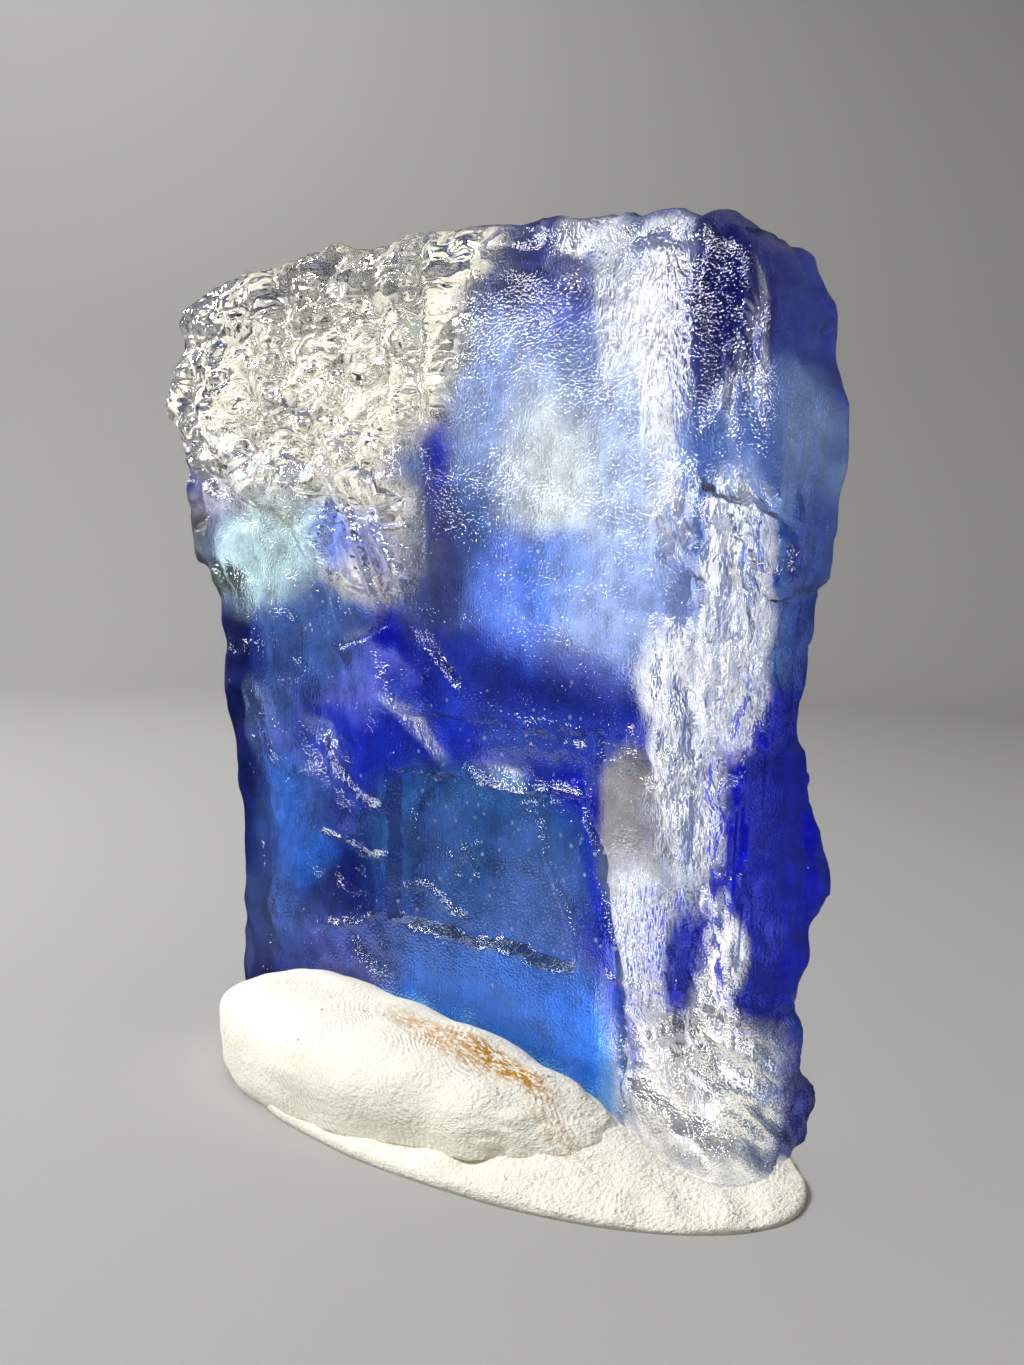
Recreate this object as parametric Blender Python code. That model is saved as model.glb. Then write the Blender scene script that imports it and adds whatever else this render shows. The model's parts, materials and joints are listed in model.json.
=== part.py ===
"""A cleavage slab of blue halite, stood on edge in white putty.

The slab's front face lies in the plane y = 0 and looks along -Y. Its width runs along X, and its
foot is bedded in a pad of putty that rests on z = 0. A roll of the same putty leans on the front.
All sizes below are in millimetres. The finished meshes are scaled to metres.
"""

import math

import bmesh
import bpy
from mathutils import Vector, noise

METRES_PER_MM = 0.001
GAP = 0.3  # clearance between touching pieces

# Halite slab: nominal box, and the grid of cells its faces are cut into.
SLAB_THICK = 12.0
SLAB_FOOT = 0.9
SLAB_TOP = 90.5
SLAB_WIDTH = 76.0
SLAB_CELLS = (33, 5, 38)
EDGE_ROUND = 2.3

# Outlines of the slab as (height, x) and (x, height) points.
LEFT_END = (
    (0, -34.2), (22, -33.8), (31, -36.2), (42, -38.8), (52, -40.4),
    (63, -46.2), (68, -47.6), (76, -46.8), (84, -45.0), (90, -42.0),
)
RIGHT_END_FRONT = (
    (0, 42.8), (4, 44.4), (10, 43.6), (16, 40.8), (22, 39.2), (42, 39.4),
    (46, 41.8), (60, 41.8), (63, 43.8), (72, 44.4), (80, 44.2), (90, 42.5),
)
RIGHT_END_BACK = (
    (0, 41.0), (4, 42.0), (16, 40.8), (24, 41.4), (32, 43.2), (38, 41.0),
    (45, 39.4), (52, 40.4), (59, 41.2), (63, 42.2), (72, 43.2), (80, 43.0), (90, 41.5),
)
TOP_EDGE = (
    (-47, 84.0), (-42, 88.4), (-36, 90.8), (-20, 91.6), (-8, 90.8), (3, 91.6), (14, 90.4),
    (26, 89.8), (33, 87.8), (38, 86.0), (44, 79.5),
)

# Ledges and hollows of the front face.
LEDGE_RUN = 1.2  # how wide the slope of a ledge is
SHOULDER_X = -1.6
SHOULDER_FOOT_Z = 52.0
SHOULDER_FOOT_LEAN = 0.55
SHOULDER_FOOT_X = (-14.0, -4.0)
SHOULDER_FADE = 7.0
SHOULDER_RISE = 1.5
SHOULDER_SWELL = 2.0
SHOULDER_SWELL_RUN = 42.0
CHUNK_X = 34.3
CHUNK_FOOT = ((32, 66.0), (35.5, 63.4), (39, 62.8), (44, 60.6))
CHUNK_RISE = 2.0
WINDOW_X = (-6.5, 20.5)
WINDOW_Z = (16.5, 33.0)
WINDOW_DEPTH = 1.8
SHELF_X = (-8.0, 24.0)
SHELF_END_SOFT = 4.0
SHELF_Z = 40.5
SHELF_DEPTH = 0.7
CHIP_CENTRE = (14.5, 35.6)
CHIP_HALF = (9.4, 3.1)
CHIP_DEPTH = 1.1
NEAR_EDGE_X = 33.5
NEAR_EDGE_Z = (15.5, 45.0)
NEAR_EDGE_DEPTH = 1.6
NEAR_EDGE_SOFT = 3.0
POCKET_CENTRE = (34.6, 20.0)
POCKET_HALF = (2.2, 5.6)
POCKET_DEPTH = 2.4
LOBE_CENTRE = (38.0, 3.5)
LOBE_HALF = (13.0, 11.5)
LOBE_RISE = 3.0
SCOOP_CENTRE = (-19.0, 40.0)
SCOOP_HALF = (15.0, 13.0)
SCOOP_DEPTH = 1.4

# Ledges of the back face.
BACK_STEP_X = -12.0
BACK_STEP_LEAN = 0.12
BACK_STEP_RISE = 1.3
BACK_SHELF_Z = 34.0
BACK_SHELF_LEAN = 0.15
BACK_SHELF_RISE = 1.0
BACK_LEDGE_RUN = 1.4
BACK_SET_IN = 0.6

# Ledges wander off their straight lines, in another way on each face.
FRONT = 1
BACK = 2
LEDGE_WANDER = 1.1
LEDGE_WANDER_SPACING = 8.0

# Solution etching: lumps all over, strongest on the colourless upper left.
ETCHED_SIDE_SOFT = 4.0
ETCHED_FOOT_Z = 58.0
ETCHED_FOOT_SOFT = 8.0
ETCHED_RIM_Z = 83.0
ETCHED_RIM_SOFT = 5.0
ETCHED_RIM_SHARE = 0.8
ETCHED_EDGE_X = 34.0
ETCHED_EDGE_SOFT = 4.0
ETCHED_EDGE_SHARE = 0.6
ETCHED_LEAST = 0.12
ETCH_ABOVE_FOOT = 4.0
ETCH_SPACING = 4.6
ETCH_HEIGHT = 1.1
WEAR_SPACING = 9.0
WEAR_HEIGHT = 0.45
WEAR_OFFSET = Vector((50.0, 0.0, 0.0))

# Putty pad: an egg shape in plan, flat below, whose left end is set back under the slab.
PAD_MIDDLE_X = 10.6
PAD_LEFT_REACH = 45.4
PAD_RIGHT_REACH = 36.3
PAD_HALF_DEPTH = 19.3
PAD_SET_BACK_X = -34.0
PAD_SET_BACK = 7.2
PAD_LEFT_NARROWING = 0.8
PAD_LEFT_BLUNTNESS = 0.8
PAD_RIGHT_BLUNTNESS = 1.2
PAD_WAVINESS = 0.03
PAD_RIM_POWER = 0.5
PAD_HEIGHT = 2.4
PAD_END_HEIGHT = 1.7
PAD_END_X = 36.0
PAD_END_RUN = 14.0
PAD_LOBE_CENTRE = (27.0, -5.0)
PAD_LOBE_HALF = (18.0, 14.0)
PAD_LOBE_RISE = 2.2
PAD_BANK_X = (-18.0, 32.0)
PAD_BANK_END_SOFT = 14.0
PAD_BANK_Y = 7.5
PAD_BANK_RUN = 5.0
PAD_BANK_RISE = 3.4
ROOM_BELOW_PAD = 8.0  # how far the pad's cutter reaches down

# Putty roll: half depth and top along its length, as (x, value) points.
ROLL_X = (-24.5, 30.5)
ROLL_HALF_DEPTH = ((-24.5, 7.6), (-10, 9.6), (0, 9.9), (8, 9.7), (18, 8.8), (30.5, 8.4))
ROLL_MIDDLE_Y = ((-24.5, -6.4), (-10, -8.6), (0, -9.3), (8, -9.3), (18, -7.6), (30.5, -5.4))
ROLL_FOOT = -3.0
ROLL_TOP = ((-24.5, 9.6), (-14, 10.5), (0, 10.1), (12, 9.4), (20, 8.2), (30.5, 7.0))
ROLL_BLUNTNESS = 0.72

COLLECTION = "blue_halite"
CUTTERS = "cutters"


def eased(t):
    """0 below 0, 1 above 1, and smooth between."""
    t = min(max(t, 0.0), 1.0)
    return t * t * (3.0 - 2.0 * t)


def mixed(a, b, t):
    return a + (b - a) * t


def along(points, t):
    """The value at t of a smooth line through (position, value) points."""
    for (t0, value0), (t1, value1) in zip(points, points[1:]):
        if t <= t1:
            return mixed(value0, value1, eased((t - t0) / (t1 - t0)))
    return points[-1][1]


def inside(value, low, high, soft):
    """1 between low and high, falling to 0 within soft outside them."""
    return eased((value - low) / soft + 1.0) * eased((high - value) / soft + 1.0)


def bump(x, z, centre, half):
    """A smooth hump of height 1 over an ellipse."""
    distance = math.hypot((x - centre[0]) / half[0], (z - centre[1]) / half[1])
    return eased(1.0 - distance)


def lumps(point, spacing):
    """Smooth noise from -1 to 1 with humps about spacing apart."""
    return noise.noise(point / spacing)


# Halite slab ---------------------------------------------------------------------------------


def shoulder_relief(x, z):
    """The proud etched part on the upper left, which ends in an upright ledge."""
    ledge = eased((SHOULDER_X - x) / LEDGE_RUN)
    lower_edge = SHOULDER_FOOT_Z + SHOULDER_FOOT_LEAN * (SHOULDER_FOOT_X[0] - min(x, SHOULDER_FOOT_X[1]))
    height = eased((z - lower_edge) / SHOULDER_FADE)
    swell = SHOULDER_SWELL * eased((SHOULDER_X - x) / SHOULDER_SWELL_RUN)
    return (SHOULDER_RISE + swell) * ledge * height


def chunk_relief(x, z):
    """The proud block on the upper right, which ends in a broken lower edge."""
    side = eased((x - CHUNK_X) / LEDGE_RUN)
    return CHUNK_RISE * side * eased((z - along(CHUNK_FOOT, x)) / LEDGE_RUN)


def lower_relief(x, z):
    """The shelf, the recessed window, the shell-shaped chip and the broken near edge."""
    shelf = -SHELF_DEPTH * eased((SHELF_Z - z) / LEDGE_RUN) * inside(x, *SHELF_X, SHELF_END_SOFT)
    window = -WINDOW_DEPTH * inside(x, *WINDOW_X, LEDGE_RUN) * inside(z, *WINDOW_Z, LEDGE_RUN)
    chip = -CHIP_DEPTH * bump(x, z, CHIP_CENTRE, CHIP_HALF)
    near_side = eased((x - NEAR_EDGE_X) / NEAR_EDGE_SOFT)
    near = -NEAR_EDGE_DEPTH * near_side * inside(z, *NEAR_EDGE_Z, NEAR_EDGE_SOFT)
    pocket = -POCKET_DEPTH * bump(x, z, POCKET_CENTRE, POCKET_HALF)
    lobe = LOBE_RISE * bump(x, z, LOBE_CENTRE, LOBE_HALF)
    scoop = -SCOOP_DEPTH * bump(x, z, SCOOP_CENTRE, SCOOP_HALF)
    return shelf + window + chip + near + pocket + lobe + scoop


def wander(x, z, face):
    """The point whose relief is used at x, z: a little off, so that ledges aren't straight."""
    place = Vector((x, z, 10.0 * face)) / LEDGE_WANDER_SPACING
    return x + LEDGE_WANDER * noise.noise(place), z + LEDGE_WANDER * noise.noise(-place)


def front_relief(x, z):
    """How far the front face stands out, towards -Y."""
    place = wander(x, z, FRONT)
    return shoulder_relief(*place) + chunk_relief(*place) + lower_relief(*place)


def back_relief(x, z):
    """How far the back face stands out, towards +Y."""
    x, z = wander(x, z, BACK)
    step = BACK_STEP_RISE * eased((BACK_STEP_X + BACK_STEP_LEAN * z - x) / BACK_LEDGE_RUN)
    shelf = BACK_SHELF_RISE * eased((BACK_SHELF_Z + BACK_SHELF_LEAN * x - z) / BACK_LEDGE_RUN)
    return step + shelf - BACK_SET_IN


def etched_share(x, z):
    """1 where the slab is deeply etched, less on the fresh cleavage faces."""
    beside = eased((SHOULDER_X - x) / ETCHED_SIDE_SOFT)
    upper_left = beside * eased((z - ETCHED_FOOT_Z) / ETCHED_FOOT_SOFT)
    top_rim = ETCHED_RIM_SHARE * eased((z - ETCHED_RIM_Z) / ETCHED_RIM_SOFT)
    near_edge = ETCHED_EDGE_SHARE * eased((x - ETCHED_EDGE_X) / ETCHED_EDGE_SOFT)
    return max(upper_left, top_rim, near_edge, ETCHED_LEAST)


def rounded(u):
    """Moves a point of the unit-cell box onto a box with round edges."""
    inner = [abs(value) * 0.5 * size - (0.5 * size - EDGE_ROUND)
             for value, size in zip(u, (SLAB_WIDTH, SLAB_THICK, SLAB_TOP - SLAB_FOOT))]
    beyond = [max(value, 0.0) for value in inner]
    length = math.hypot(*beyond)
    if length == 0.0:
        return (0.0, 0.0, 0.0)
    inward = 1.0 - max(beyond) / length
    return [-math.copysign(value * inward, sign) for value, sign in zip(beyond, u)]


def slab_point(u):
    """The place on the slab, before etching, of a point of the box from -1 to 1."""
    across, depth, up = ((value + 1.0) / 2.0 for value in u)
    height = mixed(SLAB_FOOT, SLAB_TOP, up)
    right = mixed(along(RIGHT_END_FRONT, height), along(RIGHT_END_BACK, height), depth)
    x = mixed(along(LEFT_END, height), right, across)
    z = SLAB_FOOT + (height - SLAB_FOOT) * (along(TOP_EDGE, x) - SLAB_FOOT) / (SLAB_TOP - SLAB_FOOT)
    y = mixed(-front_relief(x, z), SLAB_THICK + back_relief(x, z), depth)
    shift = rounded(u)
    return Vector((x + shift[0], y + shift[1], z + shift[2]))


def etch(mesh):
    """Moves each point of the slab along its normal by the etching lumps."""
    mesh.normal_update()
    moves = []
    for vertex in mesh.verts:
        point = vertex.co
        deep = ETCH_HEIGHT * etched_share(point.x, point.z) * lumps(point, ETCH_SPACING)
        wear = WEAR_HEIGHT * lumps(point + WEAR_OFFSET, WEAR_SPACING)
        above_foot = eased((point.z - SLAB_FOOT) / ETCH_ABOVE_FOOT)
        moves.append(vertex.normal * (deep + wear) * above_foot)
    for vertex, move in zip(mesh.verts, moves):
        vertex.co += move


def cut_into_cells(mesh, cells):
    """Cuts a cube's edges along each axis, which leaves a grid on every face."""
    for axis, count in enumerate(cells):
        edges = [
            edge for edge in mesh.edges
            if abs(edge.verts[0].co[axis] - edge.verts[1].co[axis]) > 1.0
        ]
        bmesh.ops.subdivide_edges(mesh, edges=edges, cuts=count - 1, use_grid_fill=True)


def slab_mesh(swelling=0.0):
    """The slab, swollen along its normals by a clearance where it serves as a cutter."""
    mesh = bmesh.new()
    bmesh.ops.create_cube(mesh, size=2.0)
    cut_into_cells(mesh, SLAB_CELLS)
    for vertex in mesh.verts:
        vertex.co = slab_point(vertex.co)
    etch(mesh)
    mesh.normal_update()
    swollen = [vertex.co + vertex.normal * swelling for vertex in mesh.verts]
    for vertex, place in zip(mesh.verts, swollen):
        vertex.co = place
    return mesh


# Putty -----------------------------------------------------------------------------------------


def half_sphere():
    """The upper half of a unit sphere, closed below by a flat face."""
    mesh = bmesh.new()
    bmesh.ops.create_uvsphere(mesh, u_segments=44, v_segments=22, radius=1.0)
    everything = mesh.verts[:] + mesh.edges[:] + mesh.faces[:]
    bmesh.ops.bisect_plane(
        mesh, geom=everything, dist=1e-6, plane_co=(0, 0, 0), plane_no=(0, 0, 1), clear_inner=True
    )
    rim = [edge for edge in mesh.edges if edge.is_boundary]
    bmesh.ops.edgenet_fill(mesh, edges=rim)
    bmesh.ops.recalc_face_normals(mesh, faces=mesh.faces)
    return mesh


def blunted(value, bluntness):
    """Pushes a sphere's coordinate outward, or inward where bluntness is above 1."""
    return math.copysign(abs(value) ** bluntness, value)


def pad_height(x, y):
    base = mixed(PAD_HEIGHT, PAD_END_HEIGHT, eased((x - PAD_END_X) / PAD_END_RUN + 1.0))
    lobe = PAD_LOBE_RISE * bump(x, y, PAD_LOBE_CENTRE, PAD_LOBE_HALF)
    behind = eased((y - PAD_BANK_Y) / PAD_BANK_RUN)
    bank = PAD_BANK_RISE * behind * inside(x, *PAD_BANK_X, PAD_BANK_END_SOFT)
    return base + lobe + bank


def pad_mesh(swelling=0.0):
    mesh = half_sphere()
    for vertex in mesh.verts:
        across, forward, up = vertex.co
        spread = 1.0 + PAD_WAVINESS * noise.noise(Vector((across * 2.0, forward * 2.0, 5.0)))
        reach = PAD_LEFT_REACH if across < 0.0 else PAD_RIGHT_REACH
        bluntness = PAD_LEFT_BLUNTNESS if across < 0.0 else PAD_RIGHT_BLUNTNESS
        x = PAD_MIDDLE_X + (reach + swelling) * blunted(across, bluntness) * spread
        set_back = eased(x / PAD_SET_BACK_X)
        narrowing = mixed(1.0, PAD_LEFT_NARROWING, set_back)
        y = PAD_SET_BACK * set_back + (PAD_HALF_DEPTH + swelling) * forward * spread * narrowing
        z = (pad_height(x, y) + swelling) * max(up, 0.0) ** PAD_RIM_POWER
        if swelling and up < 0.001:
            z = -ROOM_BELOW_PAD
        vertex.co = (x, y, z)
    return mesh


def roll_mesh():
    """A long bun of putty, thicker at its left end and flat where it rests."""
    mesh = bmesh.new()
    bmesh.ops.create_uvsphere(mesh, u_segments=32, v_segments=26, radius=1.0)
    middle = (ROLL_X[0] + ROLL_X[1]) / 2.0
    half_length = (ROLL_X[1] - ROLL_X[0]) / 2.0
    for vertex in mesh.verts:
        side, up, lengthwise = (blunted(value, ROLL_BLUNTNESS) for value in vertex.co)
        x = middle + half_length * lengthwise
        half_height = (along(ROLL_TOP, x) - ROLL_FOOT) / 2.0
        y = along(ROLL_MIDDLE_Y, x) + along(ROLL_HALF_DEPTH, x) * side
        z = ROLL_FOOT + half_height * (1.0 + up)
        vertex.co = (x, y, max(z, 0.0))
    bmesh.ops.recalc_face_normals(mesh, faces=mesh.faces)
    return mesh


# Scene -----------------------------------------------------------------------------------------


def clear_scene():
    for item in list(bpy.data.objects):
        bpy.data.objects.remove(item, do_unlink=True)


def collection(name):
    found = bpy.data.collections.get(name) or bpy.data.collections.new(name)
    if found.name not in bpy.context.scene.collection.children:
        bpy.context.scene.collection.children.link(found)
    return found


def add_object(name, mesh, home):
    """A mesh object in metres, from a bmesh in millimetres."""
    bmesh.ops.scale(mesh, vec=(METRES_PER_MM,) * 3, verts=mesh.verts)
    bmesh.ops.triangulate(mesh, faces=mesh.faces)
    data = bpy.data.meshes.new(name)
    mesh.to_mesh(data)
    mesh.free()
    made = bpy.data.objects.new(name, data)
    home.objects.link(made)
    return made


def add_cutter(name, mesh):
    cutter = add_object(name, mesh, collection(CUTTERS))
    cutter.hide_render = True
    cutter.display_type = "WIRE"
    return cutter


def cut(target, cutter):
    modifier = target.modifiers.new(f"cut_by_{cutter.name}", "BOOLEAN")
    modifier.operation = "DIFFERENCE"
    modifier.solver = "EXACT"
    modifier.object = cutter


def principled(name, color, roughness):
    made = bpy.data.materials.new(name)
    made.use_nodes = True
    shader = made.node_tree.nodes["Principled BSDF"]
    shader.inputs["Base Color"].default_value = (*color, 1.0)
    shader.inputs["Roughness"].default_value = roughness
    shader.inputs["Metallic"].default_value = 0.0
    return made


def halite_material():
    made = principled("blue_halite", (0.16, 0.28, 0.80), 0.12)
    shader = made.node_tree.nodes["Principled BSDF"]
    shader.inputs["Transmission Weight"].default_value = 1.0
    shader.inputs["IOR"].default_value = 1.544
    return made


def build_crystal(home):
    crystal = add_object("halite_crystal", slab_mesh(), home)
    crystal.data.materials.append(halite_material())
    return crystal


def build_putty(home):
    """The pad under the slab and the roll in front of it, each cut clear of what it touches."""
    putty = principled("white_putty", (0.90, 0.88, 0.78), 0.85)
    slab_room = add_cutter("slab_room", slab_mesh(GAP))
    pad_room = add_cutter("pad_room", pad_mesh(GAP))
    pad = add_object("putty_pad", pad_mesh(), home)
    roll = add_object("putty_roll", roll_mesh(), home)
    cut(pad, slab_room)
    cut(roll, slab_room)
    cut(roll, pad_room)
    for piece in (pad, roll):
        piece.data.materials.append(putty)
        piece.data.shade_smooth()


def main():
    clear_scene()
    home = collection(COLLECTION)
    build_crystal(home)
    build_putty(home)


main()
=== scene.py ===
"""Looks of a blue halite specimen: an etched crystal slab bedded in white putty.

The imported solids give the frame. Each piece is modelled again with a finer surface, in millimetres and
in the frame's own axes, and takes the place of its solid.
"""

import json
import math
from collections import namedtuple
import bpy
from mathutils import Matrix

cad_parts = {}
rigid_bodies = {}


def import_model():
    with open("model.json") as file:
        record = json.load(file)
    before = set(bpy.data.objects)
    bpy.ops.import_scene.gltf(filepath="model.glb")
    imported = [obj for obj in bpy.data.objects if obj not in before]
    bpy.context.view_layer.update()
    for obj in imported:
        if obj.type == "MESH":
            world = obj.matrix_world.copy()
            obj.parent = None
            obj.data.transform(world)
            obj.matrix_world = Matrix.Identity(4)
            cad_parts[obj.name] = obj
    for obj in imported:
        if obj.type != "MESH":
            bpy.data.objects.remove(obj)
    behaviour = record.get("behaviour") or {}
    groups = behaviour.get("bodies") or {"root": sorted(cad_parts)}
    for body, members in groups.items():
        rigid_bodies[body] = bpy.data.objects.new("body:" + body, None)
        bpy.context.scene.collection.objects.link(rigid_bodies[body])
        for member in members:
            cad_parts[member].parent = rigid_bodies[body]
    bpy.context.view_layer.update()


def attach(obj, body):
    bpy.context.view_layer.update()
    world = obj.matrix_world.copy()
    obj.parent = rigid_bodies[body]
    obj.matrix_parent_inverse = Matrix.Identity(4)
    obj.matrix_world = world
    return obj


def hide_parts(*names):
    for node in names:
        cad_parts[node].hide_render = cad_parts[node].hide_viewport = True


bl_info = {
    "name": "Blue Halite Specimen",
    "version": (1, 0, 0),
    "blender": (4, 5, 0),
    "location": "3D View > Sidebar > Halite",
    "description": "Models a blue halite slab in putty, with its stage",
    "category": "Add Mesh",
}

import bmesh
import bpy
import numpy as np
from bpy.props import FloatProperty, FloatVectorProperty, IntProperty, PointerProperty
from mathutils import Matrix, Vector, noise

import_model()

BODY = "root"
MM = 0.001

# A line on a surface: its points as (x, z) on a face or (x, y) in plan, half its width, and its
# height, below 0 for a groove.
Crease = namedtuple("Crease", "points half_width height")

# Halite slab: nominal box in millimetres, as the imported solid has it.
SLAB_THICK = 12.0
SLAB_FOOT = 0.9
SLAB_TOP = 90.5
SLAB_WIDTH = 76.0
CUTTER_CELLS = (33, 5, 38)
LEFT_END = (
    (0, -34.2), (22, -33.8), (31, -36.2), (42, -38.8), (52, -40.4),
    (63, -46.2), (68, -47.6), (76, -46.8), (84, -45.0), (90, -42.0),
)
RIGHT_END_FRONT = (
    (0, 42.8), (4, 44.4), (10, 43.6), (16, 40.8), (22, 39.2), (42, 39.4),
    (46, 41.8), (60, 41.8), (63, 43.8), (72, 44.4), (80, 44.2), (90, 42.5),
)
RIGHT_END_BACK = (
    (0, 41.0), (4, 42.0), (16, 40.8), (24, 41.4), (32, 43.2), (38, 41.0),
    (45, 39.4), (52, 40.4), (59, 41.2), (63, 42.2), (72, 43.2), (80, 43.0), (90, 41.5),
)
TOP_EDGE = (
    (-47, 84.0), (-42, 88.4), (-36, 90.8), (-20, 91.6), (-8, 90.8), (3, 91.6), (14, 90.4),
    (26, 89.8), (33, 87.8), (38, 86.0), (44, 79.5),
)

# Ledges and hollows of the front face.
SHOULDER_LEDGE_SPREAD = 3.0
SHOULDER_X = -1.6
SHOULDER_FOOT_Z = 52.0
SHOULDER_FOOT_LEAN = 0.55
SHOULDER_FOOT_X = (-14.0, -4.0)
SHOULDER_FADE = 7.0
SHOULDER_RISE = 1.5
SHOULDER_SWELL = 2.0
SHOULDER_SWELL_RUN = 42.0
CHUNK_X = 34.3
CHUNK_FOOT = ((32, 66.0), (35.5, 63.4), (39, 62.8), (44, 60.6))
CHUNK_RISE = 2.0
WINDOW_X = (-6.5, 20.5)
WINDOW_Z = (16.5, 33.0)
WINDOW_DEPTH = 1.8
SHELF_X = (-8.0, 24.0)
SHELF_Z = 40.5
SHELF_DEPTH = 0.7
CHIP_CENTRE = (14.5, 35.6)
CHIP_HALF = (9.4, 3.1)
CHIP_DEPTH = 1.1
NEAR_EDGE_X = 33.5
NEAR_EDGE_Z = (15.5, 45.0)
NEAR_EDGE_DEPTH = 1.6
POCKET_CENTRE = (34.6, 20.0)
POCKET_HALF = (2.2, 5.6)
POCKET_DEPTH = 2.4
LOBE_CENTRE = (38.0, 3.5)
LOBE_HALF = (13.0, 11.5)
LOBE_RISE = 3.0
SCOOP_CENTRE = (-19.0, 40.0)
SCOOP_HALF = (15.0, 13.0)
SCOOP_DEPTH = 1.4

# Ledges of the back face.
BACK_STEP_X = -12.0
BACK_STEP_LEAN = 0.12
BACK_STEP_RISE = 1.3
BACK_SHELF_Z = 34.0
BACK_SHELF_LEAN = 0.15
BACK_SHELF_RISE = 1.0
BACK_SET_IN = 0.6

# Ledges wander off their straight lines, in another way on each face.
FRONT = 1
BACK = 2
LEDGE_WANDER = 1.1
LEDGE_WANDER_SPACING = 8.0

FRONT_CREASES = (
    Crease(((-18, 70), (-13, 64), (-9, 57), (-7, 51)), 0.9, 0.55),
    Crease(((-15, 71), (-10, 66), (-6.5, 59), (-3.5, 54)), 0.8, 0.5),
    Crease(((-11, 67), (-8, 66), (-6, 64.3), (-3.8, 63.2)), 0.5, -1.0),
    Crease(((-29, 65), (-28.5, 62)), 0.5, -0.8),
    Crease(((-7, 50), (-4, 54), (-2.5, 55), (-1.5, 50), (1, 46.5), (4, 44)), 0.6, -1.0),
    Crease(((-7, 50), (-11, 48), (-15, 47.5)), 0.6, -0.8),
    Crease(((21, 34), (24, 28), (25, 22), (27.5, 18), (28.5, 12), (30.5, 2)), 0.6, -0.7),
    Crease(((-18, 36), (-16, 32), (-12, 30), (-8, 29)), 0.8, 0.6),
    Crease(((-18, 24.5), (-13, 24), (-10, 22.8), (-7.5, 23)), 0.6, 0.5),
    Crease(((-19, 12.5), (-15, 14), (-10, 14.5), (-8, 16.5)), 0.6, 0.5),
    Crease(((-6, 19.5), (-2, 20), (2, 18), (4, 18)), 0.6, 0.5),
    Crease(((25, 17), (30, 17), (34, 17)), 0.5, 0.45),
    Crease(((15, 30), (17, 22), (20, 16.5)), 0.5, 0.4),
    Crease(((40, 81), (39.7, 74), (40, 70)), 0.5, 0.7),
    Crease(((38.2, 75), (37.7, 70)), 0.5, 0.6),
    Crease(((41.5, 76), (41.5, 71)), 0.5, 0.5),
    Crease(((40.5, 60), (40.4, 46)), 0.7, 0.6),
    Crease(((30, 14), (35, 15.5), (38, 14), (42, 15)), 0.6, 0.5),
)
BACK_CREASES = (
    Crease(((-30, 58), (-18, 55), (-8, 60), (4, 57)), 0.9, 0.6),
    Crease(((10, 70), (14, 52), (12, 40)), 0.6, -0.3),
    Crease(((-22, 30), (-10, 22), (6, 24), (20, 18)), 0.8, 0.6),
)

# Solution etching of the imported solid, and the finer layers on top of it.
ETCH_SPACING = 4.6
ETCH_HEIGHT = 1.1
WEAR_SPACING = 9.0
WEAR_HEIGHT = 0.45

# Broken flakes by the near edge: places as (x, z), sizes along x, y and z.
FLAKE_X = 30.5
FLAKE_Z = (13.0, 62.0)
FLAKE_SIZE = (1.5, 2.0, 5.0)
DOME_SIZE = (4.4, 3.6, 3.2)
DOME_HEIGHT = 0.7
BITS_CENTRE = (4.0, 24.0)
BITS_HALF = (5.5, 5.5)

# Putty pad: an ellipse in plan, flat below.
PAD_MIDDLE_X = 10.6
PAD_LEFT_REACH = 45.4
PAD_RIGHT_REACH = 36.3
PAD_HALF_DEPTH = 19.3
PAD_SET_BACK_X = -34.0
PAD_SET_BACK = 7.2
PAD_LEFT_NARROWING = 0.8
PAD_LEFT_BLUNTNESS = 0.8
PAD_RIGHT_BLUNTNESS = 1.2
PAD_WAVINESS = 0.03
PAD_RIM_POWER = 0.5
PAD_HEIGHT = 2.4
PAD_END_HEIGHT = 1.7
PAD_END_X = 36.0
PAD_END_RUN = 14.0
PAD_LOBE_CENTRE = (27.0, -5.0)
PAD_LOBE_HALF = (18.0, 14.0)
PAD_LOBE_RISE = 2.2
PAD_BANK_X = (-18.0, 32.0)
PAD_BANK_END_SOFT = 14.0
PAD_BANK_Y = 7.5
PAD_BANK_RUN = 5.0
PAD_BANK_RISE = 3.4
ROOM_BELOW_PAD = 8.0

# Putty roll: half depth, middle and top along its length, as (x, value) points.
ROLL_X = (-24.5, 30.5)
ROLL_HALF_DEPTH = ((-24.5, 7.6), (-10, 9.6), (0, 9.9), (8, 9.7), (18, 8.8), (30.5, 8.4))
ROLL_MIDDLE_Y = ((-24.5, -6.4), (-10, -8.6), (0, -9.3), (8, -9.3), (18, -7.6), (30.5, -5.4))
ROLL_FOOT = -3.0
ROLL_TOP = ((-24.5, 9.6), (-14, 10.5), (0, 10.1), (12, 9.4), (20, 8.2), (30.5, 7.0))
ROLL_BLUNTNESS = 0.72

# Folds of the putty, as paths in plan: the roll's overlapping layer and the cracks at its thin end.
ROLL_FOLDS = (
    Crease(((-3, -6.5), (1.5, -9.6), (9, -11.4), (15, -10.0), (20, -8.6), (26, -8.6)), 1.7, -0.8),
    Crease(((21, -9.4), (24, -10.6), (27, -10.4)), 0.45, -0.5),
    Crease(((24, -6.5), (27, -8.0), (29, -7.6)), 0.4, -0.4),
)

# Light bends as it enters halite. Colour zones run along the bent line of sight, which moves this
# many millimetres along X for each one along Y, so that both faces tint the same ray alike.
SIGHT_SHEAR = 0.48
HALITE_IOR = 1.544

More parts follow.
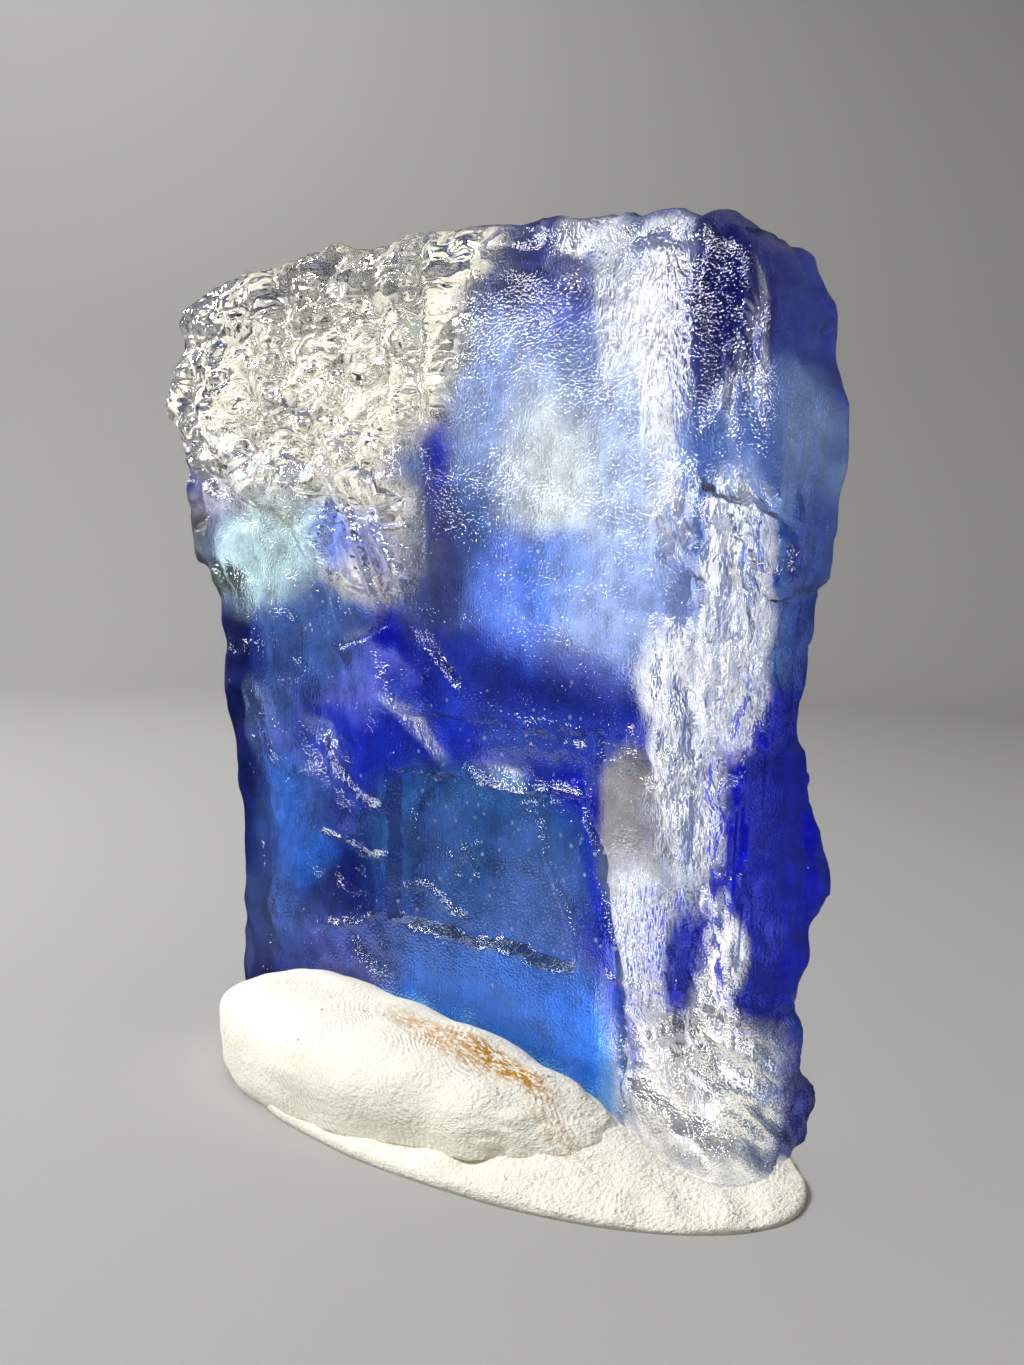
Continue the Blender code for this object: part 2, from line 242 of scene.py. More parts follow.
# Colours and finishes are kept as attributes of the slab's mesh. A finish is how frosted and how
# etched the surface is, and where white specks are painted in as glints. Zones wander a little,
# so that their rims aren't smooth curves.
ZONE_COLOUR = "zone_colour"
ZONE_FINISH_AND_GLINTS = "zone_finish_and_glints"
FINISHES = {"frost": (1.0, 0.0, 0.0), "clear": (0.0, 1.0, 0.0)}
ZONE_WANDER = 1.6
ZONE_WANDER_SPACING = 4.5

# A patch of colour in the crystal: centre and half size as (x, z), turn in degrees, softness of its
# rim from 0 to 1, and how much of the colour it lays on.
Zone = namedtuple("Zone", "colour centre half turn soft amount")
ZONES = (
    # Lower left: near black at the left end, mid blue strokes, deep royal and violet further in.
    Zone("navy", (-33, 36), (9, 20), 0, 0.6, 1.0),
    Zone("indigo", (-16, 8), (20, 9), 0, 0.5, 0.9),
    Zone("steel", (-24, 30), (9, 20), 10, 0.8, 0.9),
    Zone("azure", (-24, 26), (3, 9), 15, 0.8, 0.4),
    Zone("azure", (-16, 33), (5, 3.5), -30, 0.8, 0.8),
    Zone("royal", (-8, 37), (15, 9), -8, 0.5, 1.0),
    Zone("violet", (-15, 43), (8, 4), -15, 0.7, 0.9),
    Zone("navy", (-11, 22), (7, 7), 0, 0.7, 0.8),
    Zone("violet", (-20, 37), (7, 1.1), -38, 0.8, 0.8),
    Zone("violet", (-11, 26.5), (6, 1.0), 22, 0.8, 0.8),
    Zone("steel", (-22, 50), (12, 8), 0, 0.5, 1.0),
    Zone("navy", (-36, 45), (5, 8), 0, 0.7, 1.0),
    Zone("navy", (-34, 28), (4, 14), 0, 0.7, 1.0),
    Zone("pale_blue", (-31.5, 38), (1.3, 5), 10, 0.9, 0.5),
    Zone("violet", (-22, 33), (9, 1.3), -20, 0.8, 0.8),
    Zone("pale_blue", (-18, 36), (4, 0.8), -35, 0.8, 0.6),
    Zone("navy", (-35, 46), (4, 5), 0, 0.6, 1.0),
    Zone("pale_blue", (-36, 16), (4, 1.5), 0, 0.9, 0.6),
    Zone("violet", (-16, 11), (8, 1.6), -10, 0.8, 0.9),
    Zone("navy", (-17, 17), (8, 2.5), 5, 0.8, 0.7),
    Zone("azure", (-19, 21), (4, 2.5), 30, 0.9, 0.6),
    Zone("steel", (-27, 13), (6, 5), 0, 0.8, 0.6),
    # The recessed window and the bright base.
    Zone("teal", (6, 25), (18, 10), 0, 0.35, 1.0),
    Zone("steel", (16, 22), (7, 7), 0, 0.7, 0.7),
    Zone("steel", (1, 24), (4, 5), 0, 0.8, 0.6),
    Zone("steel", (8, 14), (22, 3.5), 2, 0.6, 0.9),
    Zone("azure", (14, 5), (20, 9), -2, 0.4, 1.0),
    Zone("teal", (10, 9), (10, 4.5), -4, 0.9, 0.55),
    # Painted light: a paler patch that lifts the shade which the putty casts, seen through the foot.
    Zone("pale_blue", (25, 5), (4, 4), 0, 0.9, 0.45),
    Zone("violet", (10, 35.5), (3.6, 2.2), 0, 0.5, 0.9),
    Zone("frost", (11.5, 34.4), (2.4, 0.9), -30, 0.8, 0.8),
    # The big upright face.
    Zone("steel", (16, 63), (21, 25), 0, 0.35, 1.0),
    Zone("pale_blue", (12, 75), (12, 10), 0, 0.7, 0.8),
    Zone("cloud", (20, 66.5), (10, 10), 15, 0.7, 1.0),
    Zone("pale_blue", (24, 53), (9, 8), 0, 0.8, 0.9),
    Zone("ultramarine", (0, 68), (2.4, 15), 0, 0.5, 0.95),
    Zone("indigo", (1, 56), (5.5, 9), 10, 0.8, 1.0),
    Zone("ultramarine", (14, 44.5), (17, 4.8), -6, 0.6, 0.7),
    Zone("navy", (17, 43.5), (13, 2.6), -5, 0.8, 0.5),
    Zone("cobalt", (13, 54), (6.5, 5.5), 35, 0.9, 1.0),
    Zone("azure", (18, 56), (4.5, 4.5), 0, 0.9, 0.8),
    Zone("pale_blue", (19.5, 55.5), (4, 4), 0, 1.0, 0.6),
    Zone("indigo", (24, 88), (18, 5), 0, 0.3, 1.0),
    Zone("indigo", (12, 87.5), (9, 4), 0, 0.5, 1.0),
    # White frosted band beside the block on the upper right.
    Zone("pale_blue", (27, 74), (6, 17), 3, 0.7, 0.7),
    Zone("frost", (30, 78), (3.0, 11), 2, 0.5, 0.9),
    Zone("frost", (24.5, 82), (2.6, 7), 4, 0.6, 0.7),
    Zone("frost", (31.5, 62), (2.2, 5), 0, 0.8, 0.45),
    Zone("steel", (20, 76), (3.6, 5), 10, 0.9, 0.7),
    Zone("violet", (17, 82), (5, 2.5), 0, 0.8, 0.7),
    Zone("indigo", (34, 91), (12, 3.4), -6, 0.3, 1.0),
    Zone("frost", (20.5, 88.5), (3.6, 2), 0, 0.3, 1.0),
    # The block and the end face.
    Zone("indigo", (42, 78), (8.8, 15), 0, 0.2, 1.0),
    Zone("indigo", (44, 72), (5, 9), 0, 0.8, 0.6),
    Zone("royal", (45.5, 78), (5.6, 10), 0, 0.6, 1.0),
    Zone("navy", (46, 77), (5, 9), 0, 0.7, 0.75),
    Zone("navy", (38.5, 82), (4.4, 9), 0, 0.5, 0.95),
    Zone("steel", (42, 67), (7.5, 6), 0, 0.5, 1.0),
    Zone("frost", (40.2, 75), (0.5, 6), 2, 0.9, 0.7),
    Zone("frost", (38.2, 72), (0.4, 4), -4, 0.9, 0.6),
    Zone("teal", (46, 54), (5, 10), 0, 0.3, 1.0),
    Zone("royal", (46.5, 55), (4, 9), 0, 0.6, 0.6),
    Zone("navy", (45.5, 57), (2.4, 9), 0, 0.8, 0.6),
    Zone("ultramarine", (44.8, 30), (6.6, 17), 0, 0.25, 1.0),
    # The broken near edge and the colourless foot.
    Zone("frost", (38.6, 53), (3.6, 12), 0, 0.4, 1.0),
    Zone("frost", (34, 45.5), (5.5, 5), -30, 0.6, 1.0),
    Zone("frost", (34, 35), (3.6, 11), 0, 0.4, 1.0),
    Zone("ultramarine", (37.6, 35), (1.0, 5.5), 8, 0.6, 0.7),
    Zone("smoke", (28.5, 31), (4.6, 8), 6, 0.3, 1.0),
    Zone("frost", (29.5, 22), (3.6, 6), 8, 0.5, 1.0),
    Zone("ice", (36.5, 7), (10.5, 9.5), 0, 0.25, 1.0),
    Zone("smoke", (33.5, 12), (3.5, 3.5), 0, 0.6, 0.8),
    Zone("ice", (38.5, 20), (2.2, 6), 0, 0.4, 0.9),
    Zone("ultramarine", (34.5, 20.5), (1.9, 5.2), 0, 0.4, 1.0),
    Zone("royal", (47.2, 9), (3.0, 8), 0, 0.6, 0.9),
    Zone("navy", (48, 8), (2.6, 7), 0, 0.7, 0.9),
    Zone("azure", (24.5, 6), (4, 7), 10, 0.7, 1.0),
    Zone("royal", (25.8, 19), (0.9, 17), 18, 0.6, 0.9),
    # The etched corner, the cyan glow below it and the pale strokes between.
    Zone("clear", (-12, 61), (10, 8), -35, 0.5, 0.8),
    Zone("violet", (-9, 59), (5, 3), -50, 0.8, 0.7),
    Zone("glow", (-31, 58), (11, 6.5), 10, 0.8, 1.0),
    Zone("glow", (-24, 61.5), (7, 5), 0, 0.6, 1.0),
    Zone("smoke", (-45, 61), (4, 4.5), 0, 0.7, 0.9),
    Zone("cobalt", (-16, 60.5), (4.5, 3), -35, 0.8, 0.9),
    Zone("clear", (-26, 82), (30, 17.5), -3, 0.2, 1.0),
    Zone("smoke", (-20, 87.5), (17, 2.6), 8, 0.8, 0.55),
    Zone("smoke", (-25, 87), (2.6, 1.3), 20, 0.8, 0.8),
    Zone("smoke", (-16, 89.5), (2.4, 1.0), 0, 0.8, 0.8),
    Zone("smoke", (-5, 86), (2.2, 2.2), -30, 0.8, 0.8),
    Zone("smoke", (-35, 82), (4, 0.9), 15, 0.8, 0.7),
    Zone("smoke", (-22, 74.5), (7, 0.8), -10, 0.8, 0.7),
    Zone("smoke", (-12, 79), (4, 0.8), 30, 0.8, 0.7),
    Zone("frost", (-19, 67), (5, 1.2), -20, 0.8, 0.6),
    Zone("frost", (-36, 72), (5, 2.0), 10, 0.9, 0.5),
    Zone("ice", (-35, 67), (8, 4), 10, 0.8, 0.6),
    Zone("clear", (2, 89), (7, 3.5), 0, 0.4, 1.0),
    Zone("clear", (-2, 80), (3, 7), 0, 0.4, 1.0),
    Zone("frost", (-2.5, 39), (5, 1.2), -28, 0.8, 0.7),
    Zone("violet", (-8, 46), (6, 1.2), -20, 0.8, 0.7),
)


# Where white specks are painted into the colour as glints: painted highlights, on small frosted pits that are
# really rough.
PAINTED_GLINT_SPECKS = (
    Zone("sparkle", (10, 27), (19, 14), 0, 0.6, 1.0),
    Zone("sparkle", (20, 58), (12, 22), 0, 0.8, 0.6),
    Zone("sparkle", (-22, 52), (9, 10), 0, 0.8, 0.7),
)

# Rust-brown stains on the putty, in plan.
STAINS = (
    Zone("stain", (11.5, -8), (8, 2.4), -2, 0.8, 0.7),
    Zone("stain", (18.5, -6.4), (6, 1.8), -4, 0.7, 1.0),
    Zone("stain", (27, -9), (3, 1.2), 0, 0.7, 0.4),
)


def eased(t):
    """0 below 0, 1 above 1, and smooth between."""
    t = min(max(t, 0.0), 1.0)
    return t * t * (3.0 - 2.0 * t)


def mixed(a, b, t):
    return a + (b - a) * t


def along(points, t):
    """The value at t of a smooth line through (position, value) points."""
    for (t0, value0), (t1, value1) in zip(points, points[1:]):
        if t <= t1:
            return mixed(value0, value1, eased((t - t0) / (t1 - t0)))
    return points[-1][1]


def inside(value, low, high, soft):
    """1 between low and high, falling to 0 within soft outside them."""
    return eased((value - low) / soft + 1.0) * eased((high - value) / soft + 1.0)


def reach(x, z, centre, half):
    """How far x, z lies out in an ellipse: 0 in the middle and 1 on the rim."""
    return math.hypot((x - centre[0]) / half[0], (z - centre[1]) / half[1])


def bump(x, z, centre, half):
    """A smooth hump of height 1 over an ellipse."""
    return eased(1.0 - reach(x, z, centre, half))


def dish(x, z, centre, half):
    """A bowl of depth 1 over an ellipse, with a crisp rim."""
    return max(1.0 - reach(x, z, centre, half) ** 2, 0.0)


def lumps(point, spacing):
    """Smooth noise from -1 to 1 with humps about spacing apart."""
    return noise.noise(point / spacing)


def ropes(point, sizes):
    """Noise from -1 to 1 with sharp crests, drawn out by sizes along X, Y and Z."""
    place = Vector(value / size for value, size in zip(point, sizes))
    return 1.0 - 2.6 * abs(noise.noise(place))


def distance_to_path(x, z, points):
    nearest = math.inf
    for (x0, z0), (x1, z1) in zip(points, points[1:]):
        run, rise = x1 - x0, z1 - z0
        share = ((x - x0) * run + (z - z0) * rise) / (run * run + rise * rise)
        share = min(max(share, 0.0), 1.0)
        nearest = min(nearest, math.hypot(x - x0 - share * run, z - z0 - share * rise))
    return nearest


def creased(x, z, creases):
    """The height of the lines on a face at x, z."""
    return sum(
        crease.height * eased(1.0 - distance_to_path(x, z, crease.points) / crease.half_width)
        for crease in creases
    )


# Halite slab ---------------------------------------------------------------------------------


def shoulder_relief(x, z, run):
    """The proud etched part on the upper left, which ends in an upright ledge."""
    ledge = eased((SHOULDER_X - x) / (run * SHOULDER_LEDGE_SPREAD))
    lower_edge = SHOULDER_FOOT_Z + SHOULDER_FOOT_LEAN * (SHOULDER_FOOT_X[0] - min(x, SHOULDER_FOOT_X[1]))
    height = eased((z - lower_edge) / SHOULDER_FADE)
    swell = SHOULDER_SWELL * eased((SHOULDER_X - x) / SHOULDER_SWELL_RUN)
    return (SHOULDER_RISE + swell) * ledge * height


def chunk_relief(x, z, run):
    """The proud block on the upper right, which ends in a broken lower edge."""
    side = eased((x - CHUNK_X) / run)
    return CHUNK_RISE * side * eased((z - along(CHUNK_FOOT, x)) / run)


def lower_relief(x, z, run):
    """The shelf, the recessed window, the shell-shaped chip and the broken near edge."""
    shelf = -SHELF_DEPTH * eased((SHELF_Z - z) / run) * inside(x, *SHELF_X, 4.0)
    window = -WINDOW_DEPTH * inside(x, *WINDOW_X, run) * inside(z, *WINDOW_Z, run)
    chip = -CHIP_DEPTH * dish(x, z, CHIP_CENTRE, CHIP_HALF)
    near = -NEAR_EDGE_DEPTH * eased((x - NEAR_EDGE_X) / 3.0) * inside(z, *NEAR_EDGE_Z, 3.0)
    pocket = -POCKET_DEPTH * bump(x, z, POCKET_CENTRE, POCKET_HALF)
    lobe = LOBE_RISE * bump(x, z, LOBE_CENTRE, LOBE_HALF)
    scoop = -SCOOP_DEPTH * bump(x, z, SCOOP_CENTRE, SCOOP_HALF)
    return shelf + window + chip + near + pocket + lobe + scoop


def wander(x, z, face):
    """The point whose relief is used at x, z: a little off, so that ledges aren't straight."""
    place = Vector((x, z, 10.0 * face)) / LEDGE_WANDER_SPACING
    return x + LEDGE_WANDER * noise.noise(place), z + LEDGE_WANDER * noise.noise(-place)


def front_relief(x, z, run, lines):
    """How far the front face stands out, towards -Y."""
    place = wander(x, z, FRONT)
    relief = shoulder_relief(*place, run) + chunk_relief(*place, run) + lower_relief(*place, run)
    return relief + creased(*place, lines)


def back_relief(x, z, run, lines):
    """How far the back face stands out, towards +Y."""
    x, z = wander(x, z, BACK)
    step = BACK_STEP_RISE * eased((BACK_STEP_X + BACK_STEP_LEAN * z - x) / run)
    shelf = BACK_SHELF_RISE * eased((BACK_SHELF_Z + BACK_SHELF_LEAN * x - z) / run)
    return step + shelf - BACK_SET_IN + creased(x, z, lines)


def rounded(u, edge_round):
    """Moves a point of the unit-cell box onto a box with round edges."""
    inner = [abs(value) * 0.5 * size - (0.5 * size - edge_round)
             for value, size in zip(u, (SLAB_WIDTH, SLAB_THICK, SLAB_TOP - SLAB_FOOT))]
    beyond = [max(value, 0.0) for value in inner]
    length = math.hypot(*beyond)
    if length == 0.0:
        return (0.0, 0.0, 0.0)
    inward = 1.0 - max(beyond) / length
    return [-math.copysign(value * inward, sign) for value, sign in zip(beyond, u)]


# How finely a slab is cut: its cells, the width of its ledges, its rounding and its lines.
Cut = namedtuple("Cut", "cells run edge_round front_lines back_lines")
CUTTER = Cut(CUTTER_CELLS, 1.2, 2.3, (), ())


def slab_point(u, cut):
    """The place on the slab, before etching, of a point of the box from -1 to 1."""
    across, depth, up = ((value + 1.0) / 2.0 for value in u)
    height = mixed(SLAB_FOOT, SLAB_TOP, up)
    right = mixed(along(RIGHT_END_FRONT, height), along(RIGHT_END_BACK, height), depth)
    x = mixed(along(LEFT_END, height), right, across)
    z = SLAB_FOOT + (height - SLAB_FOOT) * (along(TOP_EDGE, x) - SLAB_FOOT) / (SLAB_TOP - SLAB_FOOT)
    front = -front_relief(x, z, cut.run, cut.front_lines) if depth < 1.0 else 0.0
    back = SLAB_THICK + back_relief(x, z, cut.run, cut.back_lines) if depth > 0.0 else SLAB_THICK
    y = mixed(front, back, depth)
    shift = rounded(u, cut.edge_round)
    return Vector((x + shift[0], y + shift[1], z + shift[2]))


def etched_share(x, z):
    """1 where the slab is deeply etched, less on the fresh cleavage faces."""
    upper_left = eased((SHOULDER_X - x) / 4.0) * eased((z - 58.0) / 8.0)
    top_rim = eased((z - 83.0) / 5.0)
    near_edge = 0.6 * eased((x - 34.0) / 4.0)
    return max(upper_left, 0.8 * top_rim, near_edge, 0.12)


def coarse_etching(point):
    """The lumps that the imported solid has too."""
    deep = ETCH_HEIGHT * etched_share(point.x, point.z) * lumps(point, ETCH_SPACING)
    return deep + WEAR_HEIGHT * lumps(point + Vector((50.0, 0.0, 0.0)), WEAR_SPACING)


def shifted(point, amount):
    """The point moved off, so that noise read there isn't like the noise read here."""
    return point + Vector((amount, amount, amount))


def etched_waves(point, share):
    """Ropy waves, bubbles and pits of the deeply etched parts."""
    waves = 0.55 * ropes(point, (8.0, 5.0, 3.4)) + 0.2 * ropes(shifted(point, 9), (3.6, 2.8, 2.2))
    place = Vector(value / size for value, size in zip(point, DOME_SIZE))
    dome = 0.8 - 1.6 * noise.voronoi(place)[0][0] ** 2
    return share * (waves + DOME_HEIGHT * dome)


def scallops(point, share):
    """Shallow bowls that meet in sharp ridges, as on a dissolved face."""
    place = Vector((point.x / 8.0, point.y / 8.0, point.z / 10.0))
    spread = noise.voronoi(shifted(place, 0.2 * noise.noise(point / 5.0)))[0]
    return share * (1.1 * (spread[0] - 0.45) + 0.2 * ropes(point, (3.0, 3.0, 4.5)))


def flakes(point, share):
    """Small upright cleavage steps."""
    place = Vector(value / size for value, size in zip(point, FLAKE_SIZE))
    bend = 0.35 * Vector((noise.noise(point / 3.0), 0.0, noise.noise(-point / 3.0)))
    return share * 0.6 * (noise.cell(place + bend) - 0.5)


def fine_etching(point, depth):
    """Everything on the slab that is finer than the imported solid's cells."""
    x, z = point.x, point.z
    front = eased((4.0 - point.y) / 3.0)
    height = 0.04 * lumps(point, 1.7) + 0.08 * lumps(shifted(point, 7), 3.6)
    upper_left = eased((SHOULDER_X + 1.0 - x) / 2.0) * eased((z - 62.0) / 4.0)
    top_rim = 0.8 * eased((z - 84.5) / 3.0)
    if max(upper_left, top_rim) > 0.0:
        height += etched_waves(point, max(upper_left, top_rim))
    lower_left = eased((-2.0 - x) / 6.0) * eased((64.0 - z) / 6.0)
    dissolved = max(lower_left, 0.35 * eased((point.y - 8.0) / 3.0))
    if dissolved > 0.0:
        height += scallops(point, dissolved)
    flaked = eased((x - FLAKE_X) / 4.0) * inside(z, *FLAKE_Z, 4.0)
    if flaked > 0.0:
        flaked *= mixed(0.35, 1.0, front)
        height += flakes(point, flaked) + flaked * 0.35 * ropes(point, (1.6, 1.6, 3.6))
    fluted = front * inside(x, 24.0, 32.0, 5.0) * inside(z, 54.0, 86.0, 8.0)
    if fluted > 0.0:
        height += fluted * 0.16 * ropes(point, (1.4, 2.0, 9.0))
    crumpled = front * inside(x, 31.0, 41.0, 3.0) * inside(z, 36.0, 61.0, 3.0)
    if crumpled > 0.0:
        height += crumpled * 0.65 * ropes(shifted(point, 3), (2.4, 2.0, 3.8))
        height += crumpled * 0.2 * ropes(shifted(point, 6), (1.2, 1.2, 1.6))
    lobe = eased((x - 26.0) / 4.0) * eased((17.0 - z) / 4.0)
    if lobe > 0.0:
        height += lobe * 0.75 * ropes(point, (6.0, 4.0, 3.8))
        height += lobe * 0.25 * ropes(shifted(point, 2), (2.2, 2.0, 1.8))
    chunk = eased((x - CHUNK_X) / 2.0) * eased((z - 63.0) / 3.0)
    if chunk > 0.0:
        height += chunk * 0.3 * ropes(shifted(point, 4), (2.2, 3.0, 7.0))
    broken = front * bump(x, z, BITS_CENTRE, BITS_HALF)
    if broken > 0.0:
        height += broken * 0.9 * ropes(point, (2.6, 2.6, 2.2))
    sparkling = front * inside(x, 12.0, 28.0, 3.0) * inside(z, 37.8, 40.4, 1.0)
    if sparkling > 0.0:
        height += sparkling * 0.35 * ropes(point, (1.3, 1.3, 1.2))
    return depth * height


def etch(mesh, fine_depth):
    """Moves each point of the slab along its normal by the etching."""
    mesh.normal_update()
    moves = []
    for vertex in mesh.verts:
        height = coarse_etching(vertex.co)
        if fine_depth:
            height += fine_etching(vertex.co, fine_depth)
        moves.append(vertex.normal * height * eased((vertex.co.z - SLAB_FOOT) / 4.0))
    for vertex, move in zip(mesh.verts, moves):
        vertex.co += move


def cut_into_cells(mesh, cells):
    """Cuts a cube's edges along each axis, which leaves a grid on every face."""
    for axis, count in enumerate(cells):
        edges = [
            edge for edge in mesh.edges
            if abs(edge.verts[0].co[axis] - edge.verts[1].co[axis]) > 1.0
        ]
        bmesh.ops.subdivide_edges(mesh, edges=edges, cuts=count - 1, use_grid_fill=True)


def slab_mesh(cut, fine_depth=0.0, swelling=0.0):
    """The slab, swollen along its normals by a clearance where it serves as a cutter."""
    mesh = bmesh.new()
    bmesh.ops.create_cube(mesh, size=2.0)
    cut_into_cells(mesh, cut.cells)
    for vertex in mesh.verts:
        vertex.co = slab_point(vertex.co, cut)
    etch(mesh, fine_depth)
    mesh.normal_update()
    swollen = [vertex.co + vertex.normal * swelling for vertex in mesh.verts]
    for vertex, place in zip(mesh.verts, swollen):
        vertex.co = place
    return mesh


# Putty -----------------------------------------------------------------------------------------


def half_sphere(segments):
    """The upper half of a unit sphere, closed below by a flat face."""
    mesh = bmesh.new()
    bmesh.ops.create_uvsphere(mesh, u_segments=segments, v_segments=segments // 2, radius=1.0)
    everything = mesh.verts[:] + mesh.edges[:] + mesh.faces[:]
    bmesh.ops.bisect_plane(
        mesh, geom=everything, dist=1e-6, plane_co=(0, 0, 0), plane_no=(0, 0, 1), clear_inner=True
    )
    rim = [edge for edge in mesh.edges if edge.is_boundary]
    bmesh.ops.edgenet_fill(mesh, edges=rim)
    bmesh.ops.recalc_face_normals(mesh, faces=mesh.faces)
    return mesh


def pad_height(x, y):
    base = mixed(PAD_HEIGHT, PAD_END_HEIGHT, eased((x - PAD_END_X) / PAD_END_RUN + 1.0))
    lobe = PAD_LOBE_RISE * bump(x, y, PAD_LOBE_CENTRE, PAD_LOBE_HALF)
    behind = eased((y - PAD_BANK_Y) / PAD_BANK_RUN)
    bank = PAD_BANK_RISE * behind * inside(x, *PAD_BANK_X, PAD_BANK_END_SOFT)
    return base + lobe + bank


def pad_mesh(segments, swelling=0.0):
    mesh = half_sphere(segments)
    for vertex in mesh.verts:
        across, forward, up = vertex.co
        spread = 1.0 + PAD_WAVINESS * noise.noise(Vector((across * 2.0, forward * 2.0, 5.0)))
        reach = PAD_LEFT_REACH if across < 0.0 else PAD_RIGHT_REACH
        bluntness = PAD_LEFT_BLUNTNESS if across < 0.0 else PAD_RIGHT_BLUNTNESS
        x = PAD_MIDDLE_X + (reach + swelling) * blunted(across, bluntness) * spread
        set_back = eased(x / PAD_SET_BACK_X)
        narrowing = mixed(1.0, PAD_LEFT_NARROWING, set_back)
        y = PAD_SET_BACK * set_back + (PAD_HALF_DEPTH + swelling) * forward * spread * narrowing
        z = (pad_height(x, y) + swelling) * max(up, 0.0) ** PAD_RIM_POWER
        if swelling and up < 0.001:
            z = -ROOM_BELOW_PAD
        vertex.co = (x, y, z)
    return mesh


def blunted(value, bluntness):
    """Pushes a sphere's coordinate outward, or inward for a bluntness above 1."""
    return math.copysign(abs(value) ** bluntness, value)


def roll_mesh(segments):
    """A long bun of putty, thicker at its left end and flat where it rests."""
    mesh = bmesh.new()
    bmesh.ops.create_uvsphere(mesh, u_segments=segments, v_segments=segments, radius=1.0)
    middle = (ROLL_X[0] + ROLL_X[1]) / 2.0
    half_length = (ROLL_X[1] - ROLL_X[0]) / 2.0
    for vertex in mesh.verts:
        side, up, lengthwise = (blunted(value, ROLL_BLUNTNESS) for value in vertex.co)
        x = middle + half_length * lengthwise
        half_height = (along(ROLL_TOP, x) - ROLL_FOOT) / 2.0
        y = along(ROLL_MIDDLE_Y, x) + along(ROLL_HALF_DEPTH, x) * side
        z = ROLL_FOOT + half_height * (1.0 + up)
        vertex.co = (x, y, max(z, 0.0))
    bmesh.ops.recalc_face_normals(mesh, faces=mesh.faces)
    return mesh


def knead(mesh, folds, keep_flat):
    """Presses shallow dents and folds into putty, and leaves its flat underside alone."""
    mesh.normal_update()
    moves = []
    for vertex in mesh.verts:
        point = vertex.co
        height = 0.35 * lumps(point, 6.0) + 0.12 * lumps(point + Vector((3, 1, 8)), 2.2)
        height += 0.16 * min(ropes(point + Vector((0, 0, 20)), (9.0, 5.0, 4.0)), 0.6)
        height += 0.22 * eased((point.x - 16.0) / 8.0) * ropes(shifted(point, 4), (4.0, 4.0, 1.5))
        height += creased(point.x, point.y, folds) if vertex.normal.z > 0.0 else 0.0
        if keep_flat:
            height = min(height, 0.2) * eased(point.z / 0.8)
        moves.append(vertex.normal * height)
    for vertex, move in zip(mesh.verts, moves):
        vertex.co += move
        vertex.co.z = max(vertex.co.z, 0.0)


# Objects -----------------------------------------------------------------------------------------


def zone_share(x, z, zone):
    """How much of a zone's colour each place takes. Its rim is half strong at its half size."""
    core = (1.0 - zone.soft) ** 2
    spread = math.sqrt(2.0 / (1.0 + core))
    turn = math.radians(zone.turn)
    right, rise = x - zone.centre[0], z - zone.centre[1]
    across = (right * math.cos(turn) + rise * math.sin(turn)) / (zone.half[0] * spread)
    up = (rise * math.cos(turn) - right * math.sin(turn)) / (zone.half[1] * spread)
    near = np.clip((1.0 - across ** 2 - up ** 2) / (1.0 - core), 0.0, 1.0)
    return zone.amount * near * near * (3.0 - 2.0 * near)


def store_colours(data, name, values):
    """Keeps one colour for each vertex as an attribute of the mesh."""
    kept = data.attributes.new(name, "FLOAT_COLOR", "POINT")
    filled = np.ones((len(values), 4))
    filled[:, :3] = values
    kept.data.foreach_set("color", filled.ravel())


def tint(data, look):
    """Colours each point of the slab by its zones, and marks how frosted and how etched it is."""
    places = np.empty(3 * len(data.vertices))
    data.vertices.foreach_get("co", places)
    places = places.reshape(-1, 3) / MM
    x, z = places[:, 0] + SIGHT_SHEAR * places[:, 1], places[:, 2]
    bends = [noise.noise_vector(Vector((u, v, 0.0)) / ZONE_WANDER_SPACING) for u, v in zip(x, z)]
    bends = ZONE_WANDER * np.array(bends)
    x, z = x + bends[:, 0], z + bends[:, 1]
    colour = np.tile(np.array(look.ultramarine), (len(x), 1))
    finish = np.zeros((len(x), 3))
    for zone in ZONES:
        share = zone_share(x, z, zone)[:, None]
        colour += share * (np.array(getattr(look, zone.colour)) - colour)
        if zone.colour in FINISHES:
            finish += share * (np.array(FINISHES[zone.colour]) - finish)
    # Painted highlights: the finish's third channel marks where white glint specks go.
    for zone in PAINTED_GLINT_SPECKS:
        finish[:, 2] = np.maximum(finish[:, 2], zone_share(x, z, zone))
    store_colours(data, ZONE_COLOUR, colour)
    store_colours(data, ZONE_FINISH_AND_GLINTS, finish)


def object_from(name, mesh):
    """A mesh object in metres, from a bmesh in millimetres."""
    bmesh.ops.scale(mesh, vec=(MM,) * 3, verts=mesh.verts)
    data = bpy.data.meshes.new(name)
    mesh.to_mesh(data)
    mesh.free()
    data.shade_smooth()
    made = bpy.data.objects.new(name, data)
    bpy.context.scene.collection.objects.link(made)
    return made


def carve(target, cutter):
    modifier = target.modifiers.new("carve", "BOOLEAN")
    modifier.operation = "DIFFERENCE"
    modifier.solver = "EXACT"
    modifier.object = cutter
    with bpy.context.temp_override(object=target, active_object=target):
        bpy.ops.object.modifier_apply(modifier=modifier.name)


def dress(piece, node, material):
    """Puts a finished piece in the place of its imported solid."""
    piece.data.materials.clear()
    piece.data.materials.append(material)
    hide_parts(node)
    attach(piece, BODY)


# Materials ---------------------------------------------------------------------------------------


def add_node(tree, kind, *values, **settings):
    """A shader node with its settings, whose open inputs take the values or sockets in order."""
    made = tree.nodes.new("ShaderNode" + kind)
    for name, value in settings.items():
        setattr(made, name, value)
    open_inputs = [socket for socket in made.inputs if socket.enabled]
    for socket, value in zip(open_inputs, values):
        feed(tree, socket, value)
    return made


